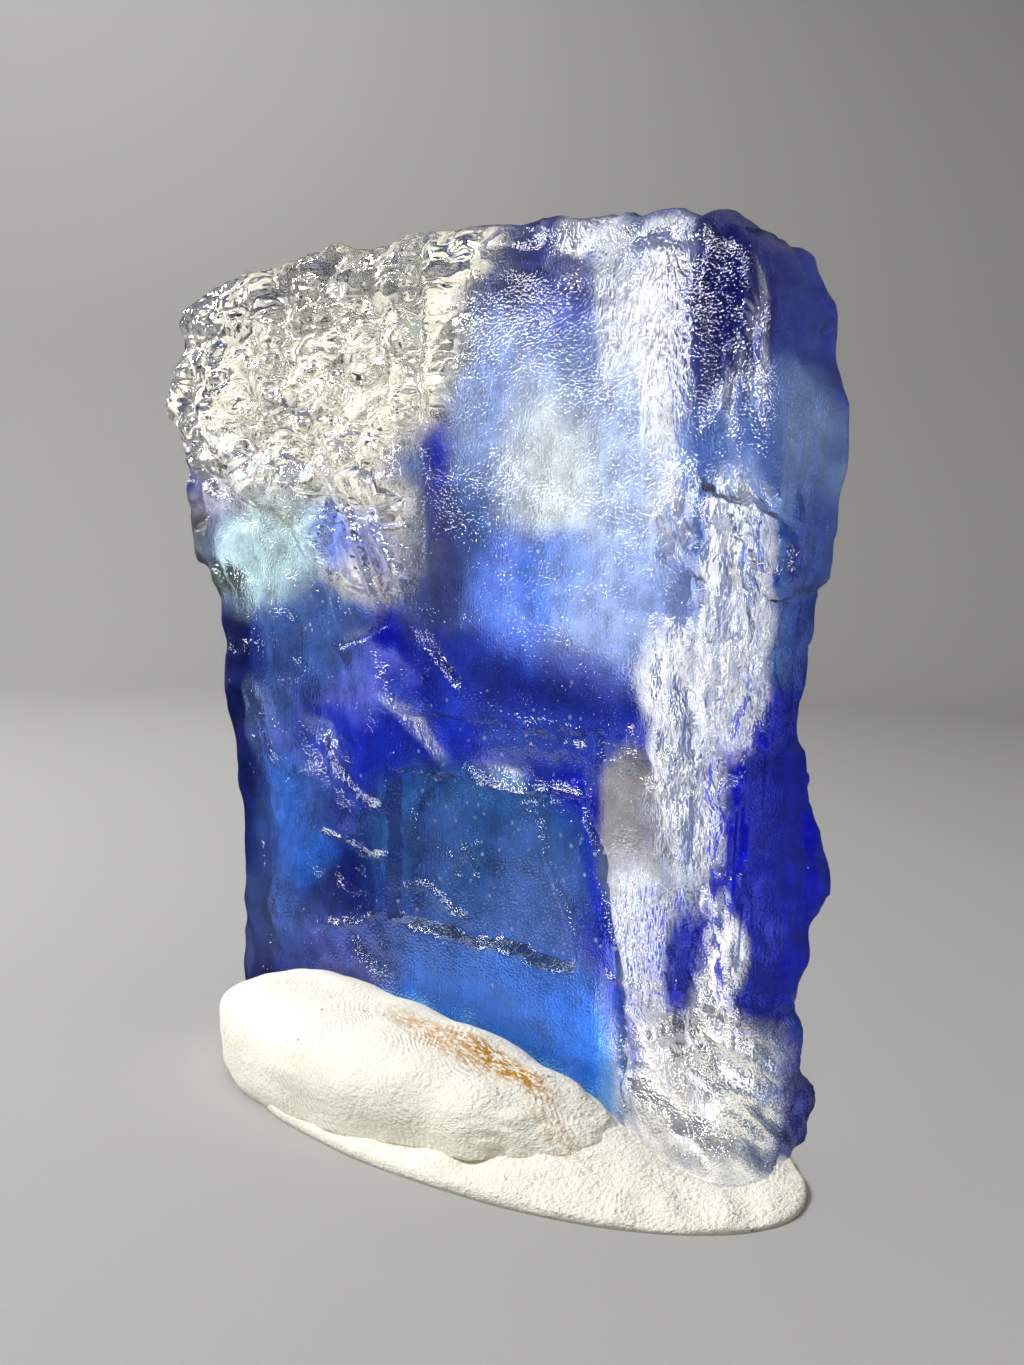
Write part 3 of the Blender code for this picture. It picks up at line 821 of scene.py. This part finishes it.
def feed(tree, socket, value):
    if value is None:
        return
    if isinstance(value, bpy.types.NodeSocket):
        tree.links.new(value, socket)
    elif isinstance(value, bpy.types.Node):
        tree.links.new(next(out for out in value.outputs if out.enabled), socket)
    else:
        socket.default_value = value


def math_node(tree, operation, *values):
    return add_node(tree, "Math", *values, operation=operation)


def vector_node(tree, operation, *values):
    return add_node(tree, "VectorMath", *values, operation=operation)


def smooth_step(tree, value, low, high):
    """0 below low, 1 above high, and smooth between."""
    return add_node(tree, "MapRange", value, low, high, 0.0, 1.0, interpolation_type="SMOOTHSTEP")


def blend_colour(tree, amount, below, above):
    return add_node(tree, "Mix", amount, below, above, data_type="RGBA")


def blend_value(tree, amount, below, above):
    return add_node(tree, "Mix", amount, below, above, data_type="FLOAT")


def blend_normal(tree, amount, below, above):
    return add_node(tree, "Mix", amount, below, above, data_type="VECTOR")


def bumped(tree, height, distance):
    """The normal of a surface roughened by a height, whose 1 stands for distance millimetres."""
    made = tree.nodes.new("ShaderNodeBump")
    feed(tree, made.inputs["Height"], height)
    made.inputs["Distance"].default_value = distance * MM
    return made


def wired_noise(tree, vector, scale, detail, roughness, dimensions):
    made = tree.nodes.new("ShaderNodeTexNoise")
    made.noise_dimensions = dimensions
    feed(tree, made.inputs["Vector"], vector)
    feed(tree, made.inputs["Scale"], scale)
    feed(tree, made.inputs["Detail"], detail)
    feed(tree, made.inputs["Roughness"], roughness)
    return made


def new_group(name, inputs, outputs):
    """An empty node group with named sockets: (tree, its inner input node, its inner output node)."""
    tree = bpy.data.node_groups.new(name, "ShaderNodeTree")
    for label, kind in inputs:
        tree.interface.new_socket(label, in_out="INPUT", socket_type="NodeSocket" + kind)
    for label, kind in outputs:
        tree.interface.new_socket(label, in_out="OUTPUT", socket_type="NodeSocket" + kind)
    return tree, tree.nodes.new("NodeGroupInput"), tree.nodes.new("NodeGroupOutput")


def place_group(tree, group, **values):
    """A node group in a material, with its named inputs fed."""
    made = tree.nodes.new("ShaderNodeGroup")
    made.node_tree = group
    for name, value in values.items():
        feed(tree, made.inputs[name.replace("_", " ").capitalize()], value)
    return made


def zone_group():
    """Mask of one soft-rimmed ellipse: Across and Up turn a place (x, z, 1) into the ellipse's own
    coordinates, in which its rim lies 1 from its middle."""
    tree, given, out = new_group(
        "soft_zone",
        (("Place", "Vector"), ("Across", "Vector"), ("Up", "Vector"), ("Core", "Float"),
         ("Amount", "Float")),
        (("Mask", "Float"),),
    )
    across = vector_node(tree, "DOT_PRODUCT", given.outputs["Place"], given.outputs["Across"])
    up = vector_node(tree, "DOT_PRODUCT", given.outputs["Place"], given.outputs["Up"])
    across, up = across.outputs["Value"], up.outputs["Value"]
    square = math_node(tree, "MULTIPLY_ADD", up, up, math_node(tree, "MULTIPLY", across, across))
    mask = add_node(
        tree, "MapRange", square, 1.0, given.outputs["Core"], 0.0, given.outputs["Amount"],
        interpolation_type="SMOOTHSTEP",
    )
    feed(tree, out.inputs["Mask"], mask)
    return tree


def zone_mask(tree, group, place, zone):
    """The mask of one zone. Its rim is half strong at its half size."""
    core = (1.0 - zone.soft) ** 2
    spread = math.sqrt(2.0 / (1.0 + core))
    turn = math.radians(zone.turn)
    rows = []
    for axis, half in (((math.cos(turn), math.sin(turn)), zone.half[0]),
                       ((-math.sin(turn), math.cos(turn)), zone.half[1])):
        reach_out = half * spread
        middle = axis[0] * zone.centre[0] + axis[1] * zone.centre[1]
        rows.append((axis[0] / reach_out, axis[1] / reach_out, -middle / reach_out))
    return place_group(tree, group, place=place, across=rows[0], up=rows[1], core=core, amount=zone.amount)


def speck_group():
    """Mask of scattered round specks, about one spacing apart, of which only a share shows."""
    if "specks" in bpy.data.node_groups:
        return bpy.data.node_groups["specks"]
    tree, given, out = new_group(
        "specks",
        (("Place", "Vector"), ("Density", "Float"), ("Size", "Float"), ("Share", "Float")),
        (("Mask", "Float"),),
    )
    cells = tree.nodes.new("ShaderNodeTexVoronoi")
    feed(tree, cells.inputs["Vector"], given.outputs["Place"])
    feed(tree, cells.inputs["Scale"], given.outputs["Density"])
    near = math_node(tree, "LESS_THAN", cells.outputs["Distance"], given.outputs["Size"])
    chance = add_node(tree, "SeparateColor", cells.outputs["Color"])
    chosen = math_node(tree, "LESS_THAN", chance.outputs[0], given.outputs["Share"])
    feed(tree, out.inputs["Mask"], math_node(tree, "MULTIPLY", near, chosen))
    return tree


def millimetre_place(tree):
    """The point on the piece, in millimetres."""
    coordinates = tree.nodes.new("ShaderNodeTexCoord")
    return scaled(tree, coordinates.outputs["Object"], 1.0 / MM)


def scaled(tree, vector, factor):
    made = tree.nodes.new("ShaderNodeVectorMath")
    made.operation = "SCALE"
    feed(tree, made.inputs[0], vector)
    feed(tree, made.inputs["Scale"], factor)
    return made.outputs[0]


def new_material(name):
    made = bpy.data.materials.new(name)
    made.use_nodes = True
    return made, made.node_tree, made.node_tree.nodes["Principled BSDF"]


def sheared_place(tree, point):
    """The point's place across the slab's face, followed along the bent line of sight."""
    across = vector_node(tree, "DOT_PRODUCT", point, (1.0, SIGHT_SHEAR, 0.0)).outputs["Value"]
    up = vector_node(tree, "DOT_PRODUCT", point, (0.0, 0.0, 1.0)).outputs["Value"]
    return add_node(tree, "CombineXYZ", across, up, 0.0)


def attribute_colour(tree, name):
    made = tree.nodes.new("ShaderNodeAttribute")
    made.attribute_name = name
    return made.outputs["Color"]


def halite_material(look):
    made, tree, shader = new_material("halite_glass")
    point = millimetre_place(tree)
    colour = attribute_colour(tree, ZONE_COLOUR)
    finish = add_node(tree, "SeparateColor", attribute_colour(tree, ZONE_FINISH_AND_GLINTS))
    frosted, etched, sparkling = finish.outputs
    flow = wired_noise(tree, vector_node(tree, "MULTIPLY", point, (1.5, 1.5, 0.18)), 1.0, 2.0, 0.6, "3D")
    streaked = math_node(tree, "MULTIPLY", frosted, smooth_step(tree, flow, 0.50, 0.60))
    colour = blend_colour(tree, math_node(tree, "MULTIPLY", streaked, 0.55), colour, look.colour_of("pale_blue"))
    gaps = math_node(tree, "MULTIPLY", frosted, smooth_step(tree, flow, 0.36, 0.30))
    colour = blend_colour(tree, math_node(tree, "MULTIPLY", gaps, 0.7), colour, look.colour_of("steel"))
    cloud = wired_noise(tree, sheared_place(tree, point), 0.4, 2.0, 0.7, "2D")
    shade = add_node(tree, "MapRange", cloud, 0.28, 0.72, 0.62, 1.30)
    colour = add_node(tree, "Mix", 1.0, colour, shade, data_type="RGBA", blend_type="MULTIPLY")
    # Painted highlights: white specks in the colour stand for glints on small frosted pits, which are also made
    # fully rough.
    share = math_node(tree, "MULTIPLY", sparkling, smooth_step(tree, cloud, 0.40, 0.62))
    painted_glint_dots = place_group(tree, speck_group(), place=point, density=0.8, size=0.18, share=share)
    colour = blend_colour(tree, painted_glint_dots, colour, (1.0, 1.0, 1.0, 1.0))
    feed(tree, shader.inputs["Base Color"], colour)
    satin = add_node(tree, "MapRange", cloud, 0.3, 0.7, 0.0, 0.05)
    roughness = blend_value(tree, frosted, satin, 0.15)
    feed(tree, shader.inputs["Roughness"], math_node(tree, "MAXIMUM", roughness, painted_glint_dots))
    striae = wired_noise(tree, vector_node(tree, "MULTIPLY", point, (3.0, 3.0, 0.28)), 1.0, 1.0, 0.5, "3D")
    crinkle = wired_noise(tree, vector_node(tree, "MULTIPLY", point, (1.5, 1.5, 0.7)), 1.0, 2.0, 0.65, "3D")
    glitter = wired_noise(tree, point, 4.2, 0.0, 0.5, "3D")
    fresh = math_node(tree, "MULTIPLY", math_node(tree, "MULTIPLY_ADD", glitter, 1.6, striae), 0.14)
    ropy = wired_noise(tree, vector_node(tree, "MULTIPLY", point, (0.20, 0.32, 0.44)), 1.0, 1.0, 0.5, "3D")
    ropy = math_node(tree, "ABSOLUTE", math_node(tree, "SUBTRACT", ropy, 0.5))
    etching = math_node(tree, "MULTIPLY", ropy, -4.2)
    normal = bumped(tree, fresh, 0.35)
    normal = blend_normal(tree, frosted, normal, bumped(tree, math_node(tree, "MULTIPLY", crinkle, 1.9), 0.35))
    normal = blend_normal(tree, etched, normal, bumped(tree, etching, 0.28))
    feed(tree, shader.inputs["Normal"], normal)
    shader.inputs["Transmission Weight"].default_value = 1.0
    shader.inputs["IOR"].default_value = HALITE_IOR
    return made


def putty_material(look):
    made, tree, shader = new_material("white_putty")
    point = millimetre_place(tree)
    tone = wired_noise(tree, point, 0.12, 4.0, 0.6, "3D")
    tone = smooth_step(tree, tone, 0.3, 0.7)
    colour = blend_colour(tree, tone, (*look.colour, 1.0), (*look.shaded_colour, 1.0))
    specks = speck_group()
    dust = place_group(tree, specks, place=point, density=0.55, size=0.10, share=0.25)
    colour = blend_colour(tree, dust, colour, (0.34, 0.30, 0.25, 1.0))
    plan = vector_node(tree, "MULTIPLY_ADD", point, (1.0, 1.0, 0.0), (0.0, 0.0, 1.0))
    blotch = wired_noise(tree, vector_node(tree, "MULTIPLY", point, (0.9, 2.2, 2.2)), 1.0, 3.0, 0.7, "3D")
    blotch = smooth_step(tree, blotch, 0.45, 0.52)
    zone = zone_group()
    for stain in STAINS:
        mask = math_node(tree, "MULTIPLY", zone_mask(tree, zone, plan, stain), blotch)
        colour = blend_colour(tree, mask, colour, (*look.stain_colour, 1.0))
    feed(tree, shader.inputs["Base Color"], colour)
    shader.inputs["Roughness"].default_value = 0.85
    shader.inputs["Specular IOR Level"].default_value = 0.15
    bend = wired_noise(tree, point, 0.11, 2.0, 0.5, "3D")
    bent = vector_node(tree, "ADD", point, scaled(tree, bend.outputs["Color"], 7.0))
    ridges = tree.nodes.new("ShaderNodeTexWave")
    ridges.wave_type = "BANDS"
    ridges.bands_direction = "DIAGONAL"
    feed(tree, ridges.inputs["Vector"], bent)
    ridges.inputs["Scale"].default_value = 0.75
    touched = smooth_step(tree, wired_noise(tree, point, 0.16, 1.0, 0.5, "3D"), 0.46, 0.60)
    grain = wired_noise(tree, point, 1.6, 4.0, 0.65, "3D")
    wrinkles = wired_noise(tree, vector_node(tree, "MULTIPLY", point, (1.2, 0.8, 2.0)), 1.0, 3.0, 0.6, "3D")
    wrinkles = math_node(tree, "ABSOLUTE", math_node(tree, "SUBTRACT", wrinkles, 0.5))
    across = vector_node(tree, "DOT_PRODUCT", point, (1.0, 0.0, 0.0)).outputs["Value"]
    creasing = add_node(tree, "MapRange", across, 2.0, 26.0, 0.5, 2.6)
    height = math_node(tree, "MULTIPLY_ADD", wrinkles, creasing, grain)
    height = math_node(tree, "MULTIPLY_ADD", math_node(tree, "MULTIPLY", ridges, touched), 0.25, height)
    feed(tree, shader.inputs["Normal"], bumped(tree, height, 0.22))
    return made


# Settings ----------------------------------------------------------------------------------------


def colour_property(name, description, default):
    return FloatVectorProperty(
        name=name, description=description, default=default, subtype="COLOR", min=0.0, max=1.0
    )


class HaliteLook(bpy.types.PropertyGroup):
    """Colours and surface of the crystal."""

    clear: colour_property("Clear", "Colourless etched halite", (0.87, 0.84, 0.71))
    frost: colour_property("Frost", "White frosted surfaces", (0.95, 0.96, 1.0))
    ice: colour_property("Ice", "Colourless foot of the slab", (0.88, 0.89, 0.93))
    smoke: colour_property("Smoke", "Grey colourless parts", (0.26, 0.255, 0.27))
    cloud: colour_property("Cloud", "Milky pale zone", (0.62, 0.70, 0.78))
    pale_blue: colour_property("Pale blue", "Light blue haze", (0.34, 0.46, 0.86))
    glow: colour_property("Glow", "Pale cyan glow on the left", (0.62, 0.88, 0.96))
    steel: colour_property("Steel", "Greyed mid blue", (0.05, 0.11, 0.36))
    azure: colour_property("Azure", "Bright mid blue", (0.02, 0.17, 0.80))
    cobalt: colour_property("Cobalt", "Saturated bright blue", (0.15, 0.27, 1.0))
    teal: colour_property("Teal", "Dark greenish blue", (0.022, 0.075, 0.25))
    violet: colour_property("Violet", "Bluish violet", (0.11, 0.14, 0.56))
    royal: colour_property("Royal", "Deep royal blue", (0.008, 0.022, 0.40))
    ultramarine: colour_property("Ultramarine", "Deep blue of most of the slab", (0.003, 0.005, 0.32))
    indigo: colour_property("Indigo", "Dark greyed violet", (0.035, 0.045, 0.17))
    navy: colour_property("Navy", "Darkest blue", (0.003, 0.004, 0.08))
    etch_depth: FloatProperty(
        name="Etch depth", description="Strength of the fine etching", default=1.0, min=0.0, max=2.0
    )
    cells: IntProperty(
        name="Cells", description="Cells along the slab's height", default=184, min=20, max=200
    )

    def colour_of(self, name):
        return (*getattr(self, name), 1.0)


class PuttyLook(bpy.types.PropertyGroup):
    """Colours of the putty."""

    colour: colour_property("Colour", "Ivory white of the putty", (0.90, 0.875, 0.77))
    shaded_colour: colour_property("Shaded colour", "Greyer parts", (0.85, 0.82, 0.71))
    stain_colour: colour_property("Stain colour", "Rust-brown stains", (0.52, 0.24, 0.02))


class StageLook(bpy.types.PropertyGroup):
    """Floor and lights."""

    floor_colour: colour_property("Floor colour", "Pale floor and wall", (0.38, 0.376, 0.365))
    key_power: FloatProperty(name="Key power", description="Soft key light, in watts", default=3.5)
    room_power: FloatProperty(name="Room power", description="Soft light from above", default=2.2)
    wash_power: FloatProperty(name="Wash power", description="Light on the far wall", default=2.6)
    glint_strength: FloatProperty(name="Glint strength", description="Small lamps", default=45.0)
    tent_strength: FloatProperty(
        name="Tent strength", description="Light seen through the crystal", default=1.38
    )


def settings(context):
    return context.scene.halite_look, context.scene.putty_look, context.scene.stage_look


# Operators ---------------------------------------------------------------------------------------


class HALITE_OT_crystal(bpy.types.Operator):
    """Model the etched slab of halite"""

    bl_idname = "halite.crystal"
    bl_label = "Halite Crystal"

    def execute(self, context):
        look = context.scene.halite_look
        cells = (look.cells - 4, 24, look.cells)
        cut = Cut(cells, 0.6, 2.3, FRONT_CREASES, BACK_CREASES)
        crystal = object_from("halite_slab", slab_mesh(cut, fine_depth=look.etch_depth))
        tint(crystal.data, look)
        crystal.data.set_sharp_from_angle(angle=math.radians(50.0))
        crystal.visible_shadow = False
        dress(crystal, "halite_crystal", halite_material(look))
        return {"FINISHED"}


class HALITE_OT_putty(bpy.types.Operator):
    """Model the pad and the roll of putty, carved clear of the slab"""

    bl_idname = "halite.putty"
    bl_label = "Putty Pad and Roll"

    def execute(self, context):
        look = context.scene.putty_look
        material = putty_material(look)
        slab_room = object_from("slab_room", slab_mesh(CUTTER, swelling=0.15))
        pad_room = object_from("pad_room", pad_mesh(64, swelling=0.1))
        pad = pad_mesh(220)
        knead(pad, (), keep_flat=True)
        pad = object_from("pressed_pad", pad)
        roll = roll_mesh(150)
        knead(roll, ROLL_FOLDS, keep_flat=False)
        roll = object_from("pressed_roll", roll)
        carve(pad, slab_room)
        carve(roll, slab_room)
        carve(roll, pad_room)
        for cutter in (slab_room, pad_room):
            bpy.data.objects.remove(cutter, do_unlink=True)
        for piece, node in ((pad, "putty_pad"), (roll, "putty_roll")):
            dress(piece, node, material)
        return {"FINISHED"}


CAMERA_PLACE = (0.101080, -0.097660, 0.0549275)
CAMERA_TURN = (1.4926, -0.0259, 0.7400)
CAMERA_LENS = 34.085


def aim(obj, target):
    obj.rotation_euler = (Vector(target) - obj.location).to_track_quat("-Z", "Y").to_euler()


def area_light(name, place, target, size, power, colour=(1.0, 1.0, 1.0)):
    data = bpy.data.lights.new(name, "AREA")
    data.shape = "RECTANGLE"
    data.size, data.size_y = size
    data.energy = power
    data.color = colour
    light = bpy.data.objects.new(name, data)
    bpy.context.scene.collection.objects.link(light)
    light.location = place
    aim(light, target)
    light.visible_camera = False
    return light


# Small soft boxes that show only as highlights: azimuth and elevation, in degrees.
GLINT_DIRECTIONS = (
    (188, 16), (200, 34), (212, 24), (237, 23), (250, 34), (264, 15), (290, 30),
)
GLINT_HALF_WIDTH = (5.0, 3.6)
GLINT_SHARE_THROUGH = 0.12

# Brighter ones on the far side, which show only through the crystal.
FAR_GLINT_DIRECTIONS = ((98, 6), (174, 8), (141, 32), (112, -24))
FAR_GLINT_SHARE = 0.12


def direction_of(azimuth, elevation):
    """The unit vector that points that many degrees round from +X and up."""
    turn, rise = math.radians(azimuth), math.radians(elevation)
    return Vector((math.cos(turn) * math.cos(rise), math.sin(turn) * math.cos(rise), math.sin(rise)))


def cone(tree, direction, middle, outer, inner):
    """1 within inner degrees of the middle direction, 0 beyond outer degrees."""
    cosine = vector_node(tree, "DOT_PRODUCT", direction, tuple(middle)).outputs["Value"]
    return smooth_step(tree, cosine, math.cos(math.radians(outer)), math.cos(math.radians(inner)))


def panel_light(tree, direction, forward, right, up):
    """What the crystal shows: bright panels round the horizon, dark above and below, and a
    dimmer, mottled part behind the colourless corner."""
    panels = smooth_step(tree, wired_noise(tree, direction, 2.6, 1.0, 0.5, "3D"), 0.42, 0.56)
    light = blend_value(tree, panels, 0.22, 1.25)
    light = blend_value(tree, cone(tree, direction, forward, 52.0, 28.0), light, 1.0)
    corner = (forward - 0.22 * right + 0.20 * up).normalized()
    mottle = smooth_step(tree, wired_noise(tree, direction, 7.0, 1.0, 0.5, "3D"), 0.40, 0.54)
    dim = blend_value(tree, mottle, 0.10, 0.95)
    light = blend_value(tree, cone(tree, direction, corner, 20.0, 7.0), light, dim)
    rise = vector_node(tree, "DOT_PRODUCT", direction, (0.0, 0.0, 1.0)).outputs["Value"]
    light = blend_value(tree, smooth_step(tree, rise, 0.28, 0.62), light, 0.05)
    return blend_value(tree, smooth_step(tree, rise, -0.22, -0.60), light, 0.6)


def glint_light(tree, direction, places, strength):
    """The light of small soft boxes in the given directions."""
    light = 0.0
    for azimuth, elevation in places:
        spot = cone(tree, direction, direction_of(azimuth, elevation), *GLINT_HALF_WIDTH)
        light = math_node(tree, "ADD", spot, light)
    return math_node(tree, "MULTIPLY", light, strength)


def light_tent(forward, right, up, look):
    """A world that only the crystal's reflections and the light through it show."""
    world = bpy.data.worlds.new("light_tent")
    world.use_nodes = True
    world.cycles.sampling_method = "NONE"
    tree = world.node_tree
    direction = tree.nodes.new("ShaderNodeTexCoord").outputs["Generated"]
    glints = glint_light(tree, direction, GLINT_DIRECTIONS, look.glint_strength)
    far_glints = glint_light(tree, direction, FAR_GLINT_DIRECTIONS, FAR_GLINT_SHARE * look.glint_strength)
    panels = panel_light(tree, direction, forward, right, up)
    through = math_node(tree, "MULTIPLY", panels, look.tent_strength)
    through = math_node(tree, "MULTIPLY_ADD", glints, GLINT_SHARE_THROUGH, through)
    through = math_node(tree, "ADD", through, far_glints)
    softbox = smooth_step(tree, wired_noise(tree, direction, 2.2, 1.0, 0.5, "3D"), 0.50, 0.60)
    mirrored = math_node(tree, "ADD", blend_value(tree, softbox, 0.01, 0.12), glints)
    path = tree.nodes.new("ShaderNodeLightPath")
    strength = blend_value(tree, path.outputs["Is Glossy Ray"], 0.03, mirrored)
    strength = blend_value(tree, path.outputs["Is Transmission Ray"], strength, through)
    background = tree.nodes["Background"]
    background.inputs["Color"].default_value = (1.0, 0.995, 0.98, 1.0)
    feed(tree, background.inputs["Strength"], strength)
    return world


class HALITE_OT_stage(bpy.types.Operator):
    """Set the pale stage, the lights and the camera"""

    bl_idname = "halite.stage"
    bl_label = "Stage"

    def execute(self, context):
        look = context.scene.stage_look
        scene = context.scene
        floor = object_from("stage_floor", stage_mesh())
        made, tree, shader = new_material("pale_floor")
        feed(tree, shader.inputs["Base Color"], (*look.floor_colour, 1.0))
        shader.inputs["Roughness"].default_value = 0.9
        shader.inputs["Specular IOR Level"].default_value = 0.0
        floor.data.materials.append(made)
        floor.visible_transmission = False
        floor.visible_glossy = False
        camera_data = bpy.data.cameras.new("camera")
        camera_data.lens = CAMERA_LENS
        camera_data.clip_start = 0.01
        camera = bpy.data.objects.new("camera", camera_data)
        scene.collection.objects.link(camera)
        camera.location = CAMERA_PLACE
        camera.rotation_euler = CAMERA_TURN
        scene.camera = camera
        middle = Vector((0.0, 0.006, 0.046))
        turn = camera.rotation_euler.to_matrix()
        right, up, forward = turn.col[0], turn.col[1], -turn.col[2]
        area_light("key", (-0.22, -0.30, 0.42), middle, (0.20, 0.20), look.key_power)
        area_light("room_fill", (0.0, 0.0, 0.85), (0, 0, 0), (0.6, 0.6), look.room_power)
        area_light("wall_wash", (-0.25, 0.1, 0.6), (-0.95, 0.02, 0.28), (0.3, 0.3), look.wash_power)
        for light in scene.objects:
            if light.type == "LIGHT":
                light.visible_glossy = False
                light.visible_transmission = False
        scene.world = light_tent(forward, right, up, look)
        scene.view_settings.view_transform = "Standard"
        return {"FINISHED"}


def stage_mesh():
    """A round floor that curves up into a wall."""
    mesh = bmesh.new()
    floor_radius, bend, wall_top = 500.0, 220.0, 900.0
    points = [(0.0, 0.0), (floor_radius, 0.0)]
    for step in range(1, 13):
        angle = math.radians(90.0 * step / 12)
        points.append((floor_radius + bend * math.sin(angle), bend * (1.0 - math.cos(angle))))
    points.append((floor_radius + bend + 60.0, wall_top))
    verts = [mesh.verts.new((x, 0.0, z)) for x, z in points]
    edges = [mesh.edges.new(pair) for pair in zip(verts, verts[1:])]
    bmesh.ops.spin(
        mesh, geom=verts + edges, cent=(0, 0, 0), axis=(0, 0, 1), angle=math.tau, steps=96,
        use_merge=True,
    )
    bmesh.ops.remove_doubles(mesh, verts=mesh.verts, dist=0.01)
    bmesh.ops.recalc_face_normals(mesh, faces=mesh.faces)
    if mesh.faces[0].normal.z < 0.0:
        bmesh.ops.reverse_faces(mesh, faces=mesh.faces)
    return mesh


class HALITE_PT_specimen(bpy.types.Panel):
    """Builds the specimen piece by piece"""

    bl_label = "Blue Halite"
    bl_idname = "HALITE_PT_specimen"
    bl_space_type = "VIEW_3D"
    bl_region_type = "UI"
    bl_category = "Halite"

    def draw(self, context):
        column = self.layout.column()
        for group in settings(context):
            for name in group.__annotations__:
                column.prop(group, name)
        for operator in (HALITE_OT_crystal, HALITE_OT_putty, HALITE_OT_stage):
            column.operator(operator.bl_idname)


SETTINGS = (("halite_look", HaliteLook), ("putty_look", PuttyLook), ("stage_look", StageLook))
CLASSES = (
    HaliteLook, PuttyLook, StageLook, HALITE_OT_crystal, HALITE_OT_putty, HALITE_OT_stage,
    HALITE_PT_specimen,
)


def register():
    for item in CLASSES:
        bpy.utils.register_class(item)
    for name, group in SETTINGS:
        setattr(bpy.types.Scene, name, PointerProperty(type=group))


def unregister():
    for name, _ in SETTINGS:
        delattr(bpy.types.Scene, name)
    for item in reversed(CLASSES):
        bpy.utils.unregister_class(item)


def main():
    register()
    bpy.ops.halite.crystal()
    bpy.ops.halite.putty()
    bpy.ops.halite.stage()
    bpy.context.view_layer.update()


if __name__ == "__main__":
    main()
